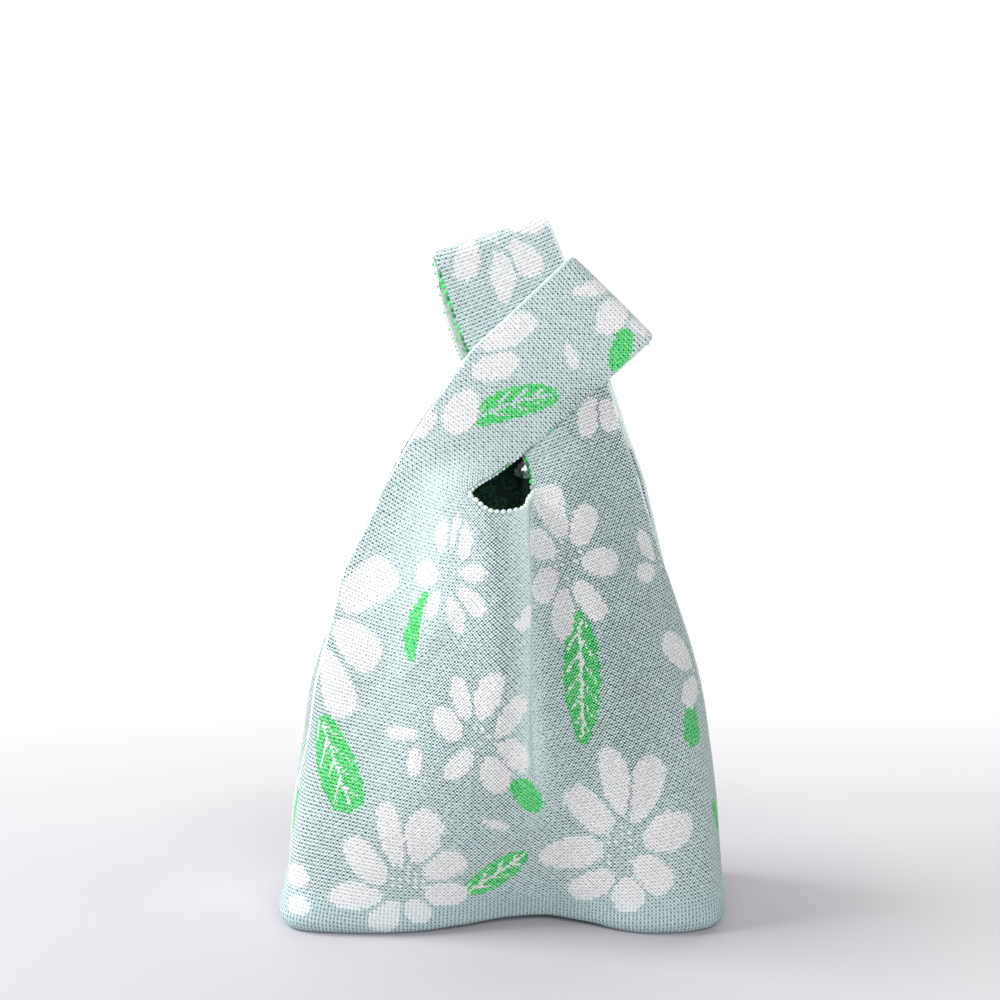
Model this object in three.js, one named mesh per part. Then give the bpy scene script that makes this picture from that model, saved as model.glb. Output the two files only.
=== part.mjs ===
// Knitted knot tote bag, standing. Millimetres, +Z up, the front faces -Y.
// The origin is under the middle of the bag, on the ground. Two panels of thick knit meet at the middle of the base, at the
// side seams and at the tops of the straps. The right strap is pulled through the loop of the left one.
import * as THREE from "three";

// Driving dimensions
const CLOTH = 2.2;
const SEAM_GAP = 0.3;
const FLOOR_Z = CLOTH / 2;
const CENTRE_X = 1.2;
const CENTRE_Y = -2;
const BASE_INSET = 4.5;
const SEAM_FLOOR_RUN = 22;
const FLOOR_ROWS = 3;
const ROUNDING_ROWS = 4;
const WALL_STEPS = 2;
const STRAP_STEPS = 2;
const CAP_ROWS = 3;

// Stations round a level, from the left seam over the front to the right seam and back over the rear.
// steps is the number of faces up to the next station, lift how far the base hangs above the ground there.
const FRONT_STATIONS = [
  { name: "leftSeam", steps: 3, lift: 0 },
  { name: "leftCorner", steps: 4, lift: 0 },
  { name: "leftFlank", steps: 4, lift: 0 },
  { name: "neckLeft", steps: 3, lift: 0.8 },
  { name: "noseTip", steps: 3, lift: 3 },
  { name: "noseTurn", steps: 2, lift: 3 },
  { name: "foldBack", steps: 2, lift: 3 },
  { name: "neckRight", steps: 3, lift: 2.4 },
  { name: "rightFace", steps: 3, lift: 0 },
  { name: "rightCorner", steps: 3, lift: 0 },
  { name: "rightSeam", steps: 0, lift: 0 },
];
const BACK_STATIONS = [
  { name: "rightSeam", steps: 3, lift: 0 },
  { name: "backRightCorner", steps: 3, lift: 0 },
  { name: "backRightFace", steps: 3, lift: 0 },
  { name: "backNeckRight", steps: 2, lift: 0 },
  { name: "backMiddle", steps: 2, lift: 0 },
  { name: "backNeckLeft", steps: 4, lift: 0 },
  { name: "backLeftFace", steps: 3, lift: 0 },
  { name: "backLeftCorner", steps: 3, lift: 0 },
  { name: "leftSeam", steps: 0, lift: 0 },
];

// The body's levels, seen from above: [x, y] for each station. Up to the tops of the side seams the rear
// row leaves out the seams, because both panels share them. Above, each panel has its own free edges.
const SEWN_LEVELS = [
  {
    z: 6.5,
    front: [[-114, -2], [-108, -39.5], [-74, -47.3], [-32, -45], [2, -34], [16, -31], [25, -30.5],
      [37, -33.5], [70, -46.6], [109, -40], [116.5, 0]],
    back: [[109, 36], [70, 44], [28, 42.5], [0, 41.5], [-28, 42.5], [-70, 44], [-108.6, 34]],
  },
  {
    z: 22,
    front: [[-110.2, -3], [-104, -34.5], [-72, -44.5], [-31, -45], [2, -40], [16, -36.5], [25, -34.5],
      [37, -37], [70, -44.5], [107.5, -37.5], [115.3, 1]],
    back: [[107, 34], [69, 43.5], [27, 43.5], [0, 42.5], [-27, 43.5], [-69, 43.5], [-108.3, 28]],
  },
  {
    z: 55,
    front: [[-107.2, -4], [-99.5, -28], [-66, -41], [-30, -46.5], [2, -46], [14, -42], [22, -39],
      [34, -39], [68, -43], [103, -33], [113.2, 1.5]],
    back: [[105, 26], [66, 39], [26, 42], [2, 43], [-24, 43], [-68, 39.5], [-106.3, 18]],
  },
  {
    z: 90,
    front: [[-99.2, -5], [-91.5, -20], [-58, -33], [-26, -44.5], [1, -48.5], [13, -45], [16.5, -38],
      [28, -37], [62, -40], [96, -29], [108.5, 1.5]],
    back: [[101, 20], [61, 34], [24, 38], [3, 39.5], [-21, 38.5], [-62, 33], [-102.2, 13]],
  },
  {
    z: 120,
    front: [[-94.6, -5.5], [-86, -15], [-52, -28], [-22, -41], [1, -48], [14, -43], [14.5, -33],
      [24, -32], [56, -37], [87, -26], [103.3, 1]],
    back: [[94, 15], [54, 29.5], [22, 33.5], [4, 35], [-18, 33.5], [-56, 27], [-97, 9]],
  },
  {
    z: 150,
    front: [[-86.9, -4], [-77.5, -11], [-46, -25], [-19, -36], [1, -43], [14.5, -38], [14, -27],
      [22, -26], [50, -33], [77, -23], [94.5, 0]],
    back: [[84, 10.5], [47, 24], [20, 27.5], [4, 29], [-16, 27.5], [-49, 21], [-86, 7]],
  },
  {
    z: 177,
    front: [[-80.8, -2], [-69, -9], [-41, -21], [-16.5, -31], [0, -37.5], [14.5, -33], [13.5, -22],
      [20, -21], [45, -28], [67, -20], [85.8, -1]],
    back: [[74, 8.5], [42, 17.5], [17, 20.5], [4, 22], [-14, 20.5], [-43, 14.5], [-75.5, 5]],
  },
];
const FREE_LEVELS = [
  {
    front: [[-69.6, -5, 200], [-58, -9.5, 200], [-36, -19, 200], [-15.5, -27.5, 198], [-2, -33.5, 196.5],
      [13.5, -30, 197], [13.5, -20, 198], [18, -18.5, 199], [40, -22, 200], [61, -15.5, 200],
      [78.6, -4, 200]],
    back: [[81, 4.5, 200], [67, 9, 200], [39, 16, 200], [17, 18.5, 200], [9.5, 20, 199],
      [3, 19.5, 200], [-36, 14, 200], [-59, 8.5, 200], [-70.6, 5, 200]],
  },
  {
    front: [[-57.3, -6, 226], [-47, -10.5, 226], [-31, -17, 225], [-15.6, -24, 221.4], [-4, -29.5, 214],
      [12, -27.5, 215.5], [14.5, -19, 219], [16.6, -15.5, 220.5], [35, -15.5, 223.5], [54, -10, 225],
      [71.4, -5, 225]],
    back: [[74.8, 5.5, 225], [55, 9, 225.5], [35, 13, 224], [16.5, 14.5, 222], [12.5, 17.5, 219],
      [9, 17, 222], [-30, 12.5, 225], [-47, 9, 226], [-58.4, 6, 226]],
  },
];

// The straps above the neck, a row for each cross-section: its outer and inner edge, [x, y, z], and how
// far its middle stands out. The last row is where the strap turns over.
const STRAPS = {
  leftFront: [
    { outer: [-46.1, -6.5, 246.5], inner: [-3, -16, 229.9], crown: 1.5 },
    { outer: [-30.4, -7, 270], inner: [8.1, -11, 237.7], crown: 1.8 },
    { outer: [-15.1, -7.3, 291.8], inner: [24.2, -8, 251], crown: 1.6 },
    { outer: [1.5, -7.3, 307.7], inner: [42.2, -7.4, 267.2], crown: 1.2 },
    { outer: [18.1, -7.4, 323.3], inner: [60, -6.5, 282.8], crown: 0.8 },
    { outer: [30, -7.5, 334.4], inner: [74, -4.8, 295.4], crown: 0.3 },
  ],
  leftBack: [
    { outer: [-47.4, 6.5, 247.5], inner: [17, 14, 236], crown: 1 },
    { outer: [-31.4, 7, 271], inner: [22, 10.5, 244.5], crown: 1.4 },
    { outer: [-15.6, 7.3, 292.3], inner: [29.5, 8.5, 254], crown: 1.4 },
    { outer: [1, 7.3, 308.4], inner: [43, 7.4, 267.4], crown: 1.2 },
    { outer: [17.7, 7.4, 323.8], inner: [60, 6.5, 282.8], crown: 0.8 },
    { outer: [30, 7.5, 334.4], inner: [74, 4.8, 295.4], crown: 0.3 },
  ],
  rightFront: [
    { outer: [63.8, -4.4, 246.9], inner: [12.6, -6.8, 240.5], crown: 0.8 },
    { outer: [56, -3.6, 275], inner: [1.5, -4.4, 262], crown: 0.3 },
    { outer: [44.5, -3.6, 306.2], inner: [-14.5, -3.6, 288.6], crown: 0.2 },
    { outer: [35.3, -3.6, 330.9], inner: [-24, -3.6, 313.2], crown: 0.2 },
    { outer: [25.1, -3.6, 355], inner: [-31.8, -3.6, 336.9], crown: 0.2 },
  ],
  rightBack: [
    { outer: [66.8, 4.4, 246.9], inner: [10, 7.6, 240.5], crown: 0.6 },
    { outer: [57, 3.6, 275], inner: [-1.5, 4.4, 262], crown: 0.3 },
    { outer: [44.5, 3.6, 306.2], inner: [-19.5, 3.6, 287.6], crown: 0.2 },
    { outer: [35.3, 3.6, 330.9], inner: [-28.4, 3.6, 312.2], crown: 0.2 },
    { outer: [25.1, 3.6, 355], inner: [-34, 3.6, 336.4], crown: 0.2 },
  ],
};

// Lists every station's column number, and how many columns the panel has.
function columnsOf(stations) {
  const at = {};
  let column = 0;
  for (const station of stations) {
    at[station.name] = column;
    column += station.steps;
  }
  return { at, count: column + 1 };
}

// Points on a centripetal Catmull-Rom curve through one point for each station.
function throughStations(points, stations, closed, first) {
  const curve = new THREE.CatmullRomCurve3(points, closed, "centripetal");
  const spans = closed ? points.length : points.length - 1;
  const found = [];
  stations.forEach((station, index) => {
    for (let step = 0; step < Math.max(station.steps, 1); step += 1) {
      const along = (first + index + step / Math.max(station.steps, 1)) / spans;
      found.push(curve.getPoint(closed ? along % 1 : Math.min(along, 1)));
    }
  });
  return found;
}

// One sewn level as two rows of points, the front panel's and the back panel's.
function sewnRows(level) {
  const ring = [...level.front, ...level.back].map(([x, y]) => new THREE.Vector3(x, y, level.z));
  const rows = [
    throughStations(ring, FRONT_STATIONS, true, 0),
    throughStations(ring, BACK_STATIONS, true, level.front.length - 1),
  ];
  partAtSeams(rows[0], -SEAM_GAP / 2);
  partAtSeams(rows[1], SEAM_GAP / 2);
  return rows;
}

// Moves the two ends of a row off the shared seam.
function partAtSeams(row, shift) {
  row[0].y += shift;
  row[row.length - 1].y += shift;
}

// One level with free edges.
function freeRow(points, stations) {
  const vectors = points.map(([x, y, z]) => new THREE.Vector3(x, y, z));
  return throughStations(vectors, stations, false, 0);
}

// The lift of the base under every column, eased between stations.
function liftsOf(stations) {
  const lifts = [];
  stations.forEach((station, index) => {
    const next = stations[Math.min(index + 1, stations.length - 1)];
    for (let step = 0; step < Math.max(station.steps, 1); step += 1) {
      const t = THREE.MathUtils.smoothstep(step / Math.max(station.steps, 1), 0, 1);
      lifts.push(THREE.MathUtils.lerp(station.lift, next.lift, t));
    }
  });
  return lifts;
}

// The rows under the lowest level: from the middle of the base outwards, then up round its edge.
function baseRows(lowest, stations, side) {
  const lifts = liftsOf(stations);
  const last = lowest.length - 1;
  const direction = Math.sign(lowest[last].x - lowest[0].x);
  const start = lowest[0].x + direction * (BASE_INSET + SEAM_FLOOR_RUN);
  const end = lowest[last].x - direction * (BASE_INSET + SEAM_FLOOR_RUN);
  const length = [0];
  for (let i = 1; i <= last; i += 1) length.push(length[i - 1] + lowest[i].distanceTo(lowest[i - 1]));
  const rows = [];
  const inward = lowest.map((point, i) => {
    const before = lowest[Math.max(i - 1, 0)];
    const after = lowest[Math.min(i + 1, last)];
    const along = after.clone().sub(before).normalize();
    const normal = new THREE.Vector3(along.y, -along.x, 0).multiplyScalar(side * direction);
    if (i === 0) normal.set(direction, 0, 0);
    if (i === last) normal.set(-direction, 0, 0);
    return normal;
  });
  for (let row = 0; row < FLOOR_ROWS; row += 1) {
    const t = row / FLOOR_ROWS;
    rows.push(lowest.map((point, i) => {
      const edge = point.clone().addScaledVector(inward[i], BASE_INSET);
      const centreX = THREE.MathUtils.lerp(start, end, length[i] / length[last]);
      const x = THREE.MathUtils.lerp(centreX, edge.x, t);
      const y = THREE.MathUtils.lerp(side * SEAM_GAP / 2, edge.y, t);
      return new THREE.Vector3(x, y, FLOOR_Z + lifts[i] * t * t);
    }));
  }
  for (let row = 0; row < ROUNDING_ROWS; row += 1) {
    const angle = (row / ROUNDING_ROWS) * Math.PI / 2;
    rows.push(lowest.map((point, i) => {
      const foot = FLOOR_Z + lifts[i];
      const rounded = point.clone().addScaledVector(inward[i], BASE_INSET * (1 - Math.sin(angle)));
      rounded.z = point.z - (point.z - foot) * Math.cos(angle);
      return rounded;
    }));
  }
  return rows;
}

// A strap's rows on the columns of the neck's row, from above the neck to the turn at its top. The row's
// first point is the edge that the columns start from.
function strapRows(sections, rootRow, side, startsOutside) {
  const length = [0];
  for (let i = 1; i < rootRow.length; i += 1) {
    length.push(length[i - 1] + rootRow[i].distanceTo(rootRow[i - 1]));
  }
  const shares = length.map((value) => value / length[length.length - 1]);
  return sections.map((section) => {
    const from = new THREE.Vector3(...(startsOutside ? section.outer : section.inner));
    const to = new THREE.Vector3(...(startsOutside ? section.inner : section.outer));
    return shares.map((share) => {
      const point = from.clone().lerp(to, share);
      point.y += side * section.crown * 4 * share * (1 - share);
      return point;
    });
  });
}

// The turn at the top of a strap, from its last row round to the middle between front and back.
function capRows(beforeLast, last, side) {
  const rows = [];
  for (let row = 1; row <= CAP_ROWS; row += 1) {
    const angle = (row / CAP_ROWS) * Math.PI / 2;
    rows.push(last.map((point, i) => {
      const along = point.clone().sub(beforeLast[i]);
      along.y = 0;
      along.normalize();
      const depth = Math.abs(point.y) - SEAM_GAP / 2;
      const turned = point.clone().addScaledVector(along, depth * Math.sin(angle));
      turned.y = side * (SEAM_GAP / 2 + depth * Math.cos(angle));
      return turned;
    }));
  }
  return rows;
}

// Adds the rows between key rows, column by column, on a smooth curve through them.
function refine(keys, steps, lead) {
  const curves = keys[0].map((_, column) => {
    return new THREE.CatmullRomCurve3(keys.map((row) => row[column]), false, "centripetal");
  });
  const rows = [];
  const spans = keys.length - 1;
  for (let span = lead; span < spans; span += 1) {
    for (let step = 0; step < steps; step += 1) {
      rows.push(curves.map((curve) => curve.getPoint((span + step / steps) / spans)));
    }
  }
  rows.push(curves.map((curve) => curve.getPoint(1)));
  return rows;
}

// The wall's rows. Along the seams both ends follow the sewn levels alone, which both panels share.
function wallRows(foot, sewn, free) {
  const rows = refine([foot, ...sewn, ...free], WALL_STEPS, 1);
  const seams = refine([foot, ...sewn].map((row) => [row[0], row[row.length - 1]]), WALL_STEPS, 1);
  seams.forEach(([first, last], index) => {
    rows[index][0] = first;
    rows[index][rows[index].length - 1] = last;
  });
  return rows;
}

// A panel's middle surface: points, faces of four corners, and the points whose normal stays level in Y.
class Surface {
  constructor() {
    this.points = [];
    this.faces = [];
    this.flush = new Set();
  }

  addRow(row) {
    return row.map((point) => this.points.push(point) - 1);
  }

  addStrip(lower, upper) {
    for (let i = 0; i + 1 < lower.length; i += 1) {
      this.faces.push([lower[i], lower[i + 1], upper[i + 1], upper[i]]);
    }
  }

  // Normals of the points, from the faces round them.
  normals() {
    const sums = this.points.map(() => new THREE.Vector3());
    for (const face of this.faces) {
      const [a, b, c, d] = face.map((index) => this.points[index]);
      const normal = c.clone().sub(a).cross(d.clone().sub(b));
      for (const index of face) sums[index].add(normal);
    }
    sums.forEach((sum, index) => {
      if (this.flush.has(index)) sum.y = 0;
      sum.normalize();
    });
    return sums;
  }

  // A face's corners, turned so that its shorter diagonal joins the first and the third.
  shortestDiagonalFirst([a, b, c, d]) {
    const first = this.points[a].distanceTo(this.points[c]);
    const second = this.points[b].distanceTo(this.points[d]);
    return first <= second ? [a, b, c, d] : [b, c, d, a];
  }

  // The cloth: the surface moved half a thickness out and in, and closed along its edges.
  thicken() {
    const normals = this.normals();
    const count = this.points.length;
    const positions = [];
    for (const side of [0.5, -0.5]) {
      this.points.forEach((point, index) => {
        const moved = point.clone().addScaledVector(normals[index], side * CLOTH);
        positions.push(moved.x, moved.y, moved.z);
      });
    }
    const triangles = [];
    const edges = new Map();
    for (const corners of this.faces) {
      const [a, b, c, d] = this.shortestDiagonalFirst(corners);
      triangles.push(a, b, c, a, c, d);
      triangles.push(count + a, count + c, count + b, count + a, count + d, count + c);
      for (const [from, to] of [[a, b], [b, c], [c, d], [d, a]]) {
        if (edges.has(`${to},${from}`)) edges.delete(`${to},${from}`);
        else edges.set(`${from},${to}`, [from, to]);
      }
    }
    for (const [from, to] of edges.values()) {
      triangles.push(to, from, count + from, to, count + from, count + to);
    }
    const geometry = new THREE.BufferGeometry();
    geometry.setAttribute("position", new THREE.Float32BufferAttribute(positions, 3));
    geometry.setIndex(triangles);
    geometry.computeVertexNormals();
    return geometry;
  }
}

// Builds one panel: base, walls and both straps. side is -1 for the front and 1 for the back.
function panel(side, stations, sewn, free, firstStrap, secondStrap, neckStart, neckEnd) {
  const surface = new Surface();
  const columns = columnsOf(stations);
  const base = baseRows(sewn[0], stations, side);
  const walls = wallRows(base[base.length - 1], sewn, free);
  const sewnRowCount = base.length + (sewn.length - 1) * WALL_STEPS + 1;
  const rows = [...base, ...walls].map((row) => surface.addRow(row));
  rows.forEach((row, index) => {
    if (index > 0) surface.addStrip(rows[index - 1], row);
    if (index < sewnRowCount) {
      surface.flush.add(row[0]);
      surface.flush.add(row[row.length - 1]);
    }
  });
  rows[0].forEach((index) => surface.flush.add(index));
  const lip = rows[rows.length - 1];
  const from = columns.at[neckStart];
  const to = columns.at[neckEnd];
  const parts = [
    { sections: firstStrap, first: 0, last: from, outside: true },
    { sections: secondStrap, first: to, last: columns.count - 1, outside: false },
  ];
  for (const part of parts) {
    const cut = (row) => row.slice(part.first, part.last + 1);
    const root = cut(free[free.length - 1]);
    const strap = strapRows(part.sections, root, side, part.outside);
    const strapKeys = [cut(free[free.length - 2]), root, ...strap];
    const fine = refine(strapKeys, STRAP_STEPS, 1).slice(1);
    const caps = capRows(fine[fine.length - 2], fine[fine.length - 1], side);
    let lower = cut(lip);
    for (const row of [...fine, ...caps]) {
      const upper = surface.addRow(row);
      surface.addStrip(lower, upper);
      lower = upper;
    }
    lower.forEach((index) => surface.flush.add(index));
  }
  return surface;
}

const sewnPairs = SEWN_LEVELS.map(sewnRows);
const frontSurface = panel(
  -1, FRONT_STATIONS, sewnPairs.map((pair) => pair[0]),
  FREE_LEVELS.map((level) => freeRow(level.front, FRONT_STATIONS)),
  STRAPS.leftFront, STRAPS.rightFront, "neckLeft", "neckRight",
);
const backSurface = panel(
  1, BACK_STATIONS, sewnPairs.map((pair) => pair[1]),
  FREE_LEVELS.map((level) => freeRow(level.back, BACK_STATIONS)),
  STRAPS.rightBack, STRAPS.leftBack, "backNeckRight", "backNeckLeft",
);

// A panel as a mesh of knit, moved so that the origin is under the middle of the whole bag.
function knitMesh(name, surface, colour) {
  const material = new THREE.MeshStandardMaterial({ color: colour, roughness: 0.95, metalness: 0 });
  const mesh = new THREE.Mesh(surface.thicken(), material);
  mesh.name = name;
  mesh.position.set(-CENTRE_X, -CENTRE_Y, 0);
  return mesh;
}

const bag = new THREE.Group();
bag.add(knitMesh("front_panel", frontSurface, "#b9cfce"));
bag.add(knitMesh("back_panel", backSurface, "#b4cbca"));

export default bag;
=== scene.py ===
"""Knitted knot tote bag.

A soft bag of jacquard knit with a boxed base. Two panels run from the base seam up into the straps,
and the right strap is pulled through the loop of the left one. Lengths are millimetres in the panels'
own frame unless they say metres. A pair of bounds is the start and the end of a soft step: from the
lower to the higher it rises, and from the higher to the lower it falls.
"""

import logging
import math
from dataclasses import dataclass, field
from enum import Enum
from typing import Any, Callable, Iterable, Sequence, Union

import bpy
import numpy as np
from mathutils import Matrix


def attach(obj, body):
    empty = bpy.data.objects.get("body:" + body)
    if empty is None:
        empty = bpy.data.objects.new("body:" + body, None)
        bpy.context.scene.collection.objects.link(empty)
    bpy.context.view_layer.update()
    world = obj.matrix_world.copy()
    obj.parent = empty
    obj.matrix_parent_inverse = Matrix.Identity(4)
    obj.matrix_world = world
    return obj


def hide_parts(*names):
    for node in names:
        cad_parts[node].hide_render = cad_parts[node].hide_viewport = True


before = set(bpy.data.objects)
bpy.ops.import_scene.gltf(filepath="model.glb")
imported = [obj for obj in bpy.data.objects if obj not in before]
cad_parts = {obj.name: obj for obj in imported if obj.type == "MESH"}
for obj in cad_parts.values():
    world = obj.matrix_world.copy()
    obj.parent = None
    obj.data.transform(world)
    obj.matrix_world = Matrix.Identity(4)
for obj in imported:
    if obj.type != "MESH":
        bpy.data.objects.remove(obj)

log = logging.getLogger("bag")
Array = np.ndarray
Pair = tuple[float, float]
Triple = tuple[float, float, float]
MM = 0.001


# ---- Shape of the bag ------------------------------------------------------------------------------


@dataclass(frozen=True)
class Station:
    """A line that runs up a panel.

    Attributes:
        name: what the line follows.
        steps: faces of the plain solid up to the next station.
        lift: how far the base hangs above the ground there.
        lean: how far the wales lean from this line, to the left seen from the front, in degrees.
        spread: how much wider than elsewhere the stitches are drawn there.
        open: how deep the gaps between the stitches look there.
        middles: share of that for the second gap, in the stitch's middle.
    """

    name: str
    steps: int
    lift: float = 0.0
    lean: float = 0.0
    spread: float = 1.0
    open: float = 1.05
    middles: float = 0.45


@dataclass(frozen=True)
class Level:
    """A height at which both panels are known: [x, y] or [x, y, z] for each station."""

    z: float
    front: Sequence[Sequence[float]]
    back: Sequence[Sequence[float]]


@dataclass(frozen=True)
class Section:
    """A cross-section of a strap: its outer and inner edge, and how far its middle stands out."""

    outer: Sequence[float]
    inner: Sequence[float]
    crown: float


class Side(Enum):
    """Which panel of the bag, and which way it faces in Y."""

    FRONT = -1
    BACK = 1


FRONT_STATIONS = (
    Station("leftSeam", 3, open=1.1, middles=0.15),
    Station("leftCorner", 4, open=0.88, middles=0.1),
    Station("leftFlank", 4, open=0.55, middles=0.1),
    Station("neckLeft", 3, lift=0.8, spread=1.1, open=0.95),
    Station("noseTip", 3, lift=3.0, spread=1.24, open=1.25, middles=0.8),
    Station("noseTurn", 2, lift=3.0, spread=1.24, open=0.35, middles=0.6),
    Station("foldBack", 2, lift=3.0, lean=5.0, spread=1.1, open=0.4, middles=0.6),
    Station("neckRight", 3, lift=2.4, lean=8.0, spread=1.05, middles=0.4),
    Station("rightFace", 3, lean=6.0, spread=1.06, open=1.4),
    Station("rightCorner", 3, lean=1.5, open=1.25),
    Station("rightSeam", 0, lean=3.0, open=1.2),
)
BACK_STATIONS = (
    Station("rightSeam", 3), Station("backRightCorner", 3), Station("backRightFace", 3),
    Station("backNeckRight", 2), Station("backMiddle", 2), Station("backNeckLeft", 4),
    Station("backLeftFace", 3), Station("backLeftCorner", 3, open=1.3),
    Station("leftSeam", 0, open=1.4),
)

SEWN_LEVELS = (
    Level(6.5,
          ((-114, -2), (-108, -39.5), (-74, -47.3), (-32, -45), (2, -34), (16, -31), (25, -30.5),
           (37, -33.5), (70, -46.6), (109, -40), (116.5, 0)),
          ((109, 36), (70, 44), (28, 42.5), (0, 41.5), (-28, 42.5), (-70, 44), (-108.6, 34))),
    Level(22,
          ((-110.2, -3), (-104, -34.5), (-72, -44.5), (-31, -45), (2, -40), (16, -36.5), (25, -34.5),
           (37, -37), (70, -44.5), (107.5, -37.5), (115.3, 1)),
          ((107, 34), (69, 43.5), (27, 43.5), (0, 42.5), (-27, 43.5), (-69, 43.5), (-108.3, 28))),
    Level(55,
          ((-107.2, -4), (-99.5, -28), (-66, -41), (-30, -46.5), (2, -46), (14, -42), (22, -39),
           (34, -39), (68, -43), (103, -33), (113.2, 1.5)),
          ((105, 26), (66, 39), (26, 42), (2, 43), (-24, 43), (-68, 39.5), (-106.3, 18))),
    Level(90,
          ((-99.2, -5), (-91.5, -20), (-58, -33), (-26, -44.5), (1, -48.5), (13, -45), (16.5, -38),
           (28, -37), (62, -40), (96, -29), (108.5, 1.5)),
          ((101, 20), (61, 34), (24, 38), (3, 39.5), (-21, 38.5), (-62, 33), (-102.2, 13))),
    Level(120,
          ((-94.6, -5.5), (-86, -15), (-52, -28), (-22, -41), (1, -48), (14, -43), (14.5, -33),
           (24, -32), (56, -37), (87, -26), (103.3, 1)),
          ((94, 15), (54, 29.5), (22, 33.5), (4, 35), (-18, 33.5), (-56, 27), (-97, 9))),
    Level(150,
          ((-86.9, -4), (-77.5, -11), (-46, -25), (-19, -36), (1, -43), (14.5, -38), (14, -27),
           (22, -26), (50, -33), (77, -23), (94.5, 0)),
          ((84, 10.5), (47, 24), (20, 27.5), (4, 29), (-16, 27.5), (-49, 21), (-86, 7))),
    Level(177,
          ((-80.8, -2), (-69, -9), (-41, -21), (-16.5, -31), (0, -37.5), (14.5, -33), (13.5, -22),
           (20, -21), (45, -28), (67, -20), (85.8, -1)),
          ((74, 8.5), (42, 17.5), (17, 20.5), (4, 22), (-14, 20.5), (-43, 14.5), (-75.5, 5))),
)
FREE_LEVELS = (
    Level(200,
          ((-69.6, -5, 200), (-58, -9.5, 200), (-36, -19, 200), (-15.5, -27.5, 198), (-2, -33.5, 196.5),
           (13.5, -30, 197), (13.5, -20, 198), (18, -18.5, 199), (40, -22, 200), (61, -15.5, 200),
           (78.6, -4, 200)),
          ((81, 4.5, 200), (67, 9, 200), (39, 16, 200), (17, 18.5, 200), (9.5, 20, 199),
           (3, 19.5, 200), (-36, 14, 200), (-59, 8.5, 200), (-70.6, 5, 200))),
    Level(225,
          ((-57.3, -6, 226), (-47, -10.5, 226), (-31, -17, 225), (-15.6, -24, 221.4), (-4, -29.5, 214),
           (12, -27.5, 215.5), (14.5, -19, 219), (16.6, -15.5, 220.5), (35, -15.5, 223.5),
           (54, -10, 225), (71.4, -5, 225)),
          ((74.8, 5.5, 225), (55, 9, 225.5), (35, 13, 225), (15, 14.5, 228.5), (12.6, 17, 228),
           (10.2, 16.5, 228.5), (-30, 12.5, 226), (-47, 9, 226), (-58.4, 6, 226))),
)
LEFT_FRONT_STRAP = (
    Section((-46.1, -6.5, 246.5), (-3, -16, 229.9), 1.5),
    Section((-30.4, -7, 270), (8.1, -11, 237.7), 1.8),
    Section((-15.1, -7.3, 291.8), (24.2, -8, 251), 1.6),
    Section((1.5, -7.3, 307.7), (42.2, -7.4, 267.2), 1.2),
    Section((18.1, -7.4, 323.3), (60, -6.5, 282.8), 0.8),
    Section((30, -7.5, 334.4), (74, -4.8, 295.4), 0.3),
)
LEFT_BACK_STRAP = (
    Section((-47.4, 6.5, 247.5), (17, 14, 236), 1.0),
    Section((-31.4, 7, 271), (22, 10.5, 244.5), 1.4),
    Section((-15.6, 7.3, 292.3), (29.5, 8.5, 254), 1.4),
    Section((1, 7.3, 308.4), (43, 7.4, 267.4), 1.2),
    Section((17.7, 7.4, 323.8), (60, 6.5, 282.8), 0.8),
    Section((30, 7.5, 334.4), (74, 4.8, 295.4), 0.3),
)
RIGHT_FRONT_STRAP = (
    Section((63.8, -4.4, 246.9), (12.6, -6.8, 240.5), 0.8),
    Section((56, -3.6, 275), (1.5, -4.4, 262), 0.3),
    Section((44.5, -3.6, 306.2), (-14.5, -3.6, 288.6), 0.2),
    Section((35.3, -3.6, 330.9), (-24, -3.6, 313.2), 0.2),
    Section((25.1, -3.6, 355), (-31.8, -3.6, 336.9), 0.2),
)
RIGHT_BACK_STRAP = (
    Section((66.8, 4.4, 246.9), (10, 7.6, 240.5), 0.6),
    Section((57, 3.6, 275), (-1.5, 4.4, 262), 0.3),
    Section((44.5, 3.6, 306.2), (-19.5, 3.6, 287.6), 0.2),
    Section((35.3, 3.6, 330.9), (-28.4, 3.6, 312.2), 0.2),
    Section((25.1, 3.6, 355), (-34, 3.6, 336.4), 0.2),
)


def centripetal(points: Array, where: Array, closed: bool = False) -> Array:
    """Points of a centripetal Catmull-Rom curve, worked out for whole arrays.

    Between knots p1 and p2 the curve is the cubic with those ends, whose slopes come from the
    neighbouring knots with each span weighted by the square root of its length.

    Args:
        points: knots, (K, ..., 3).
        where: places along the curve, counted in knots.
        closed: whether the last knot joins the first.

    Returns:
        The points, (len(where), ..., 3).
    """
    count = len(points)
    base = np.floor(where).astype(int)
    if closed:
        p0, p1, p2, p3 = (points[(base + k) % count] for k in (-1, 0, 1, 2))
    else:
        base = np.minimum(base, count - 2)
        ends = np.concatenate([[2 * points[0] - points[1]], points, [2 * points[-1] - points[-2]]])
        p0, p1, p2, p3 = (ends[base + k] for k in range(4))
    share = (where - base).reshape((-1,) + (1,) * (points.ndim - 1))

    def span(a: Array, b: Array) -> Array:
        """The square root of the distance between knots, kept above nothing."""
        return np.maximum(np.linalg.norm(b - a, axis=-1, keepdims=True), 1e-6) ** 0.5

    d0, d1, d2 = span(p0, p1), span(p1, p2), span(p2, p3)
    t1 = ((p1 - p0) / d0 - (p2 - p0) / (d0 + d1) + (p2 - p1) / d1) * d1
    t2 = ((p2 - p1) / d1 - (p3 - p1) / (d1 + d2) + (p3 - p2) / d2) * d1
    c2 = 3 * (p2 - p1) - 2 * t1 - t2
    c3 = 2 * (p1 - p2) + t1 + t2
    return p1 + share * (t1 + share * (c2 + share * c3))


def unit(vectors: Array) -> Array:
    """The vectors at length one."""
    return vectors / np.maximum(np.linalg.norm(vectors, axis=-1, keepdims=True), 1e-12)


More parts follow.
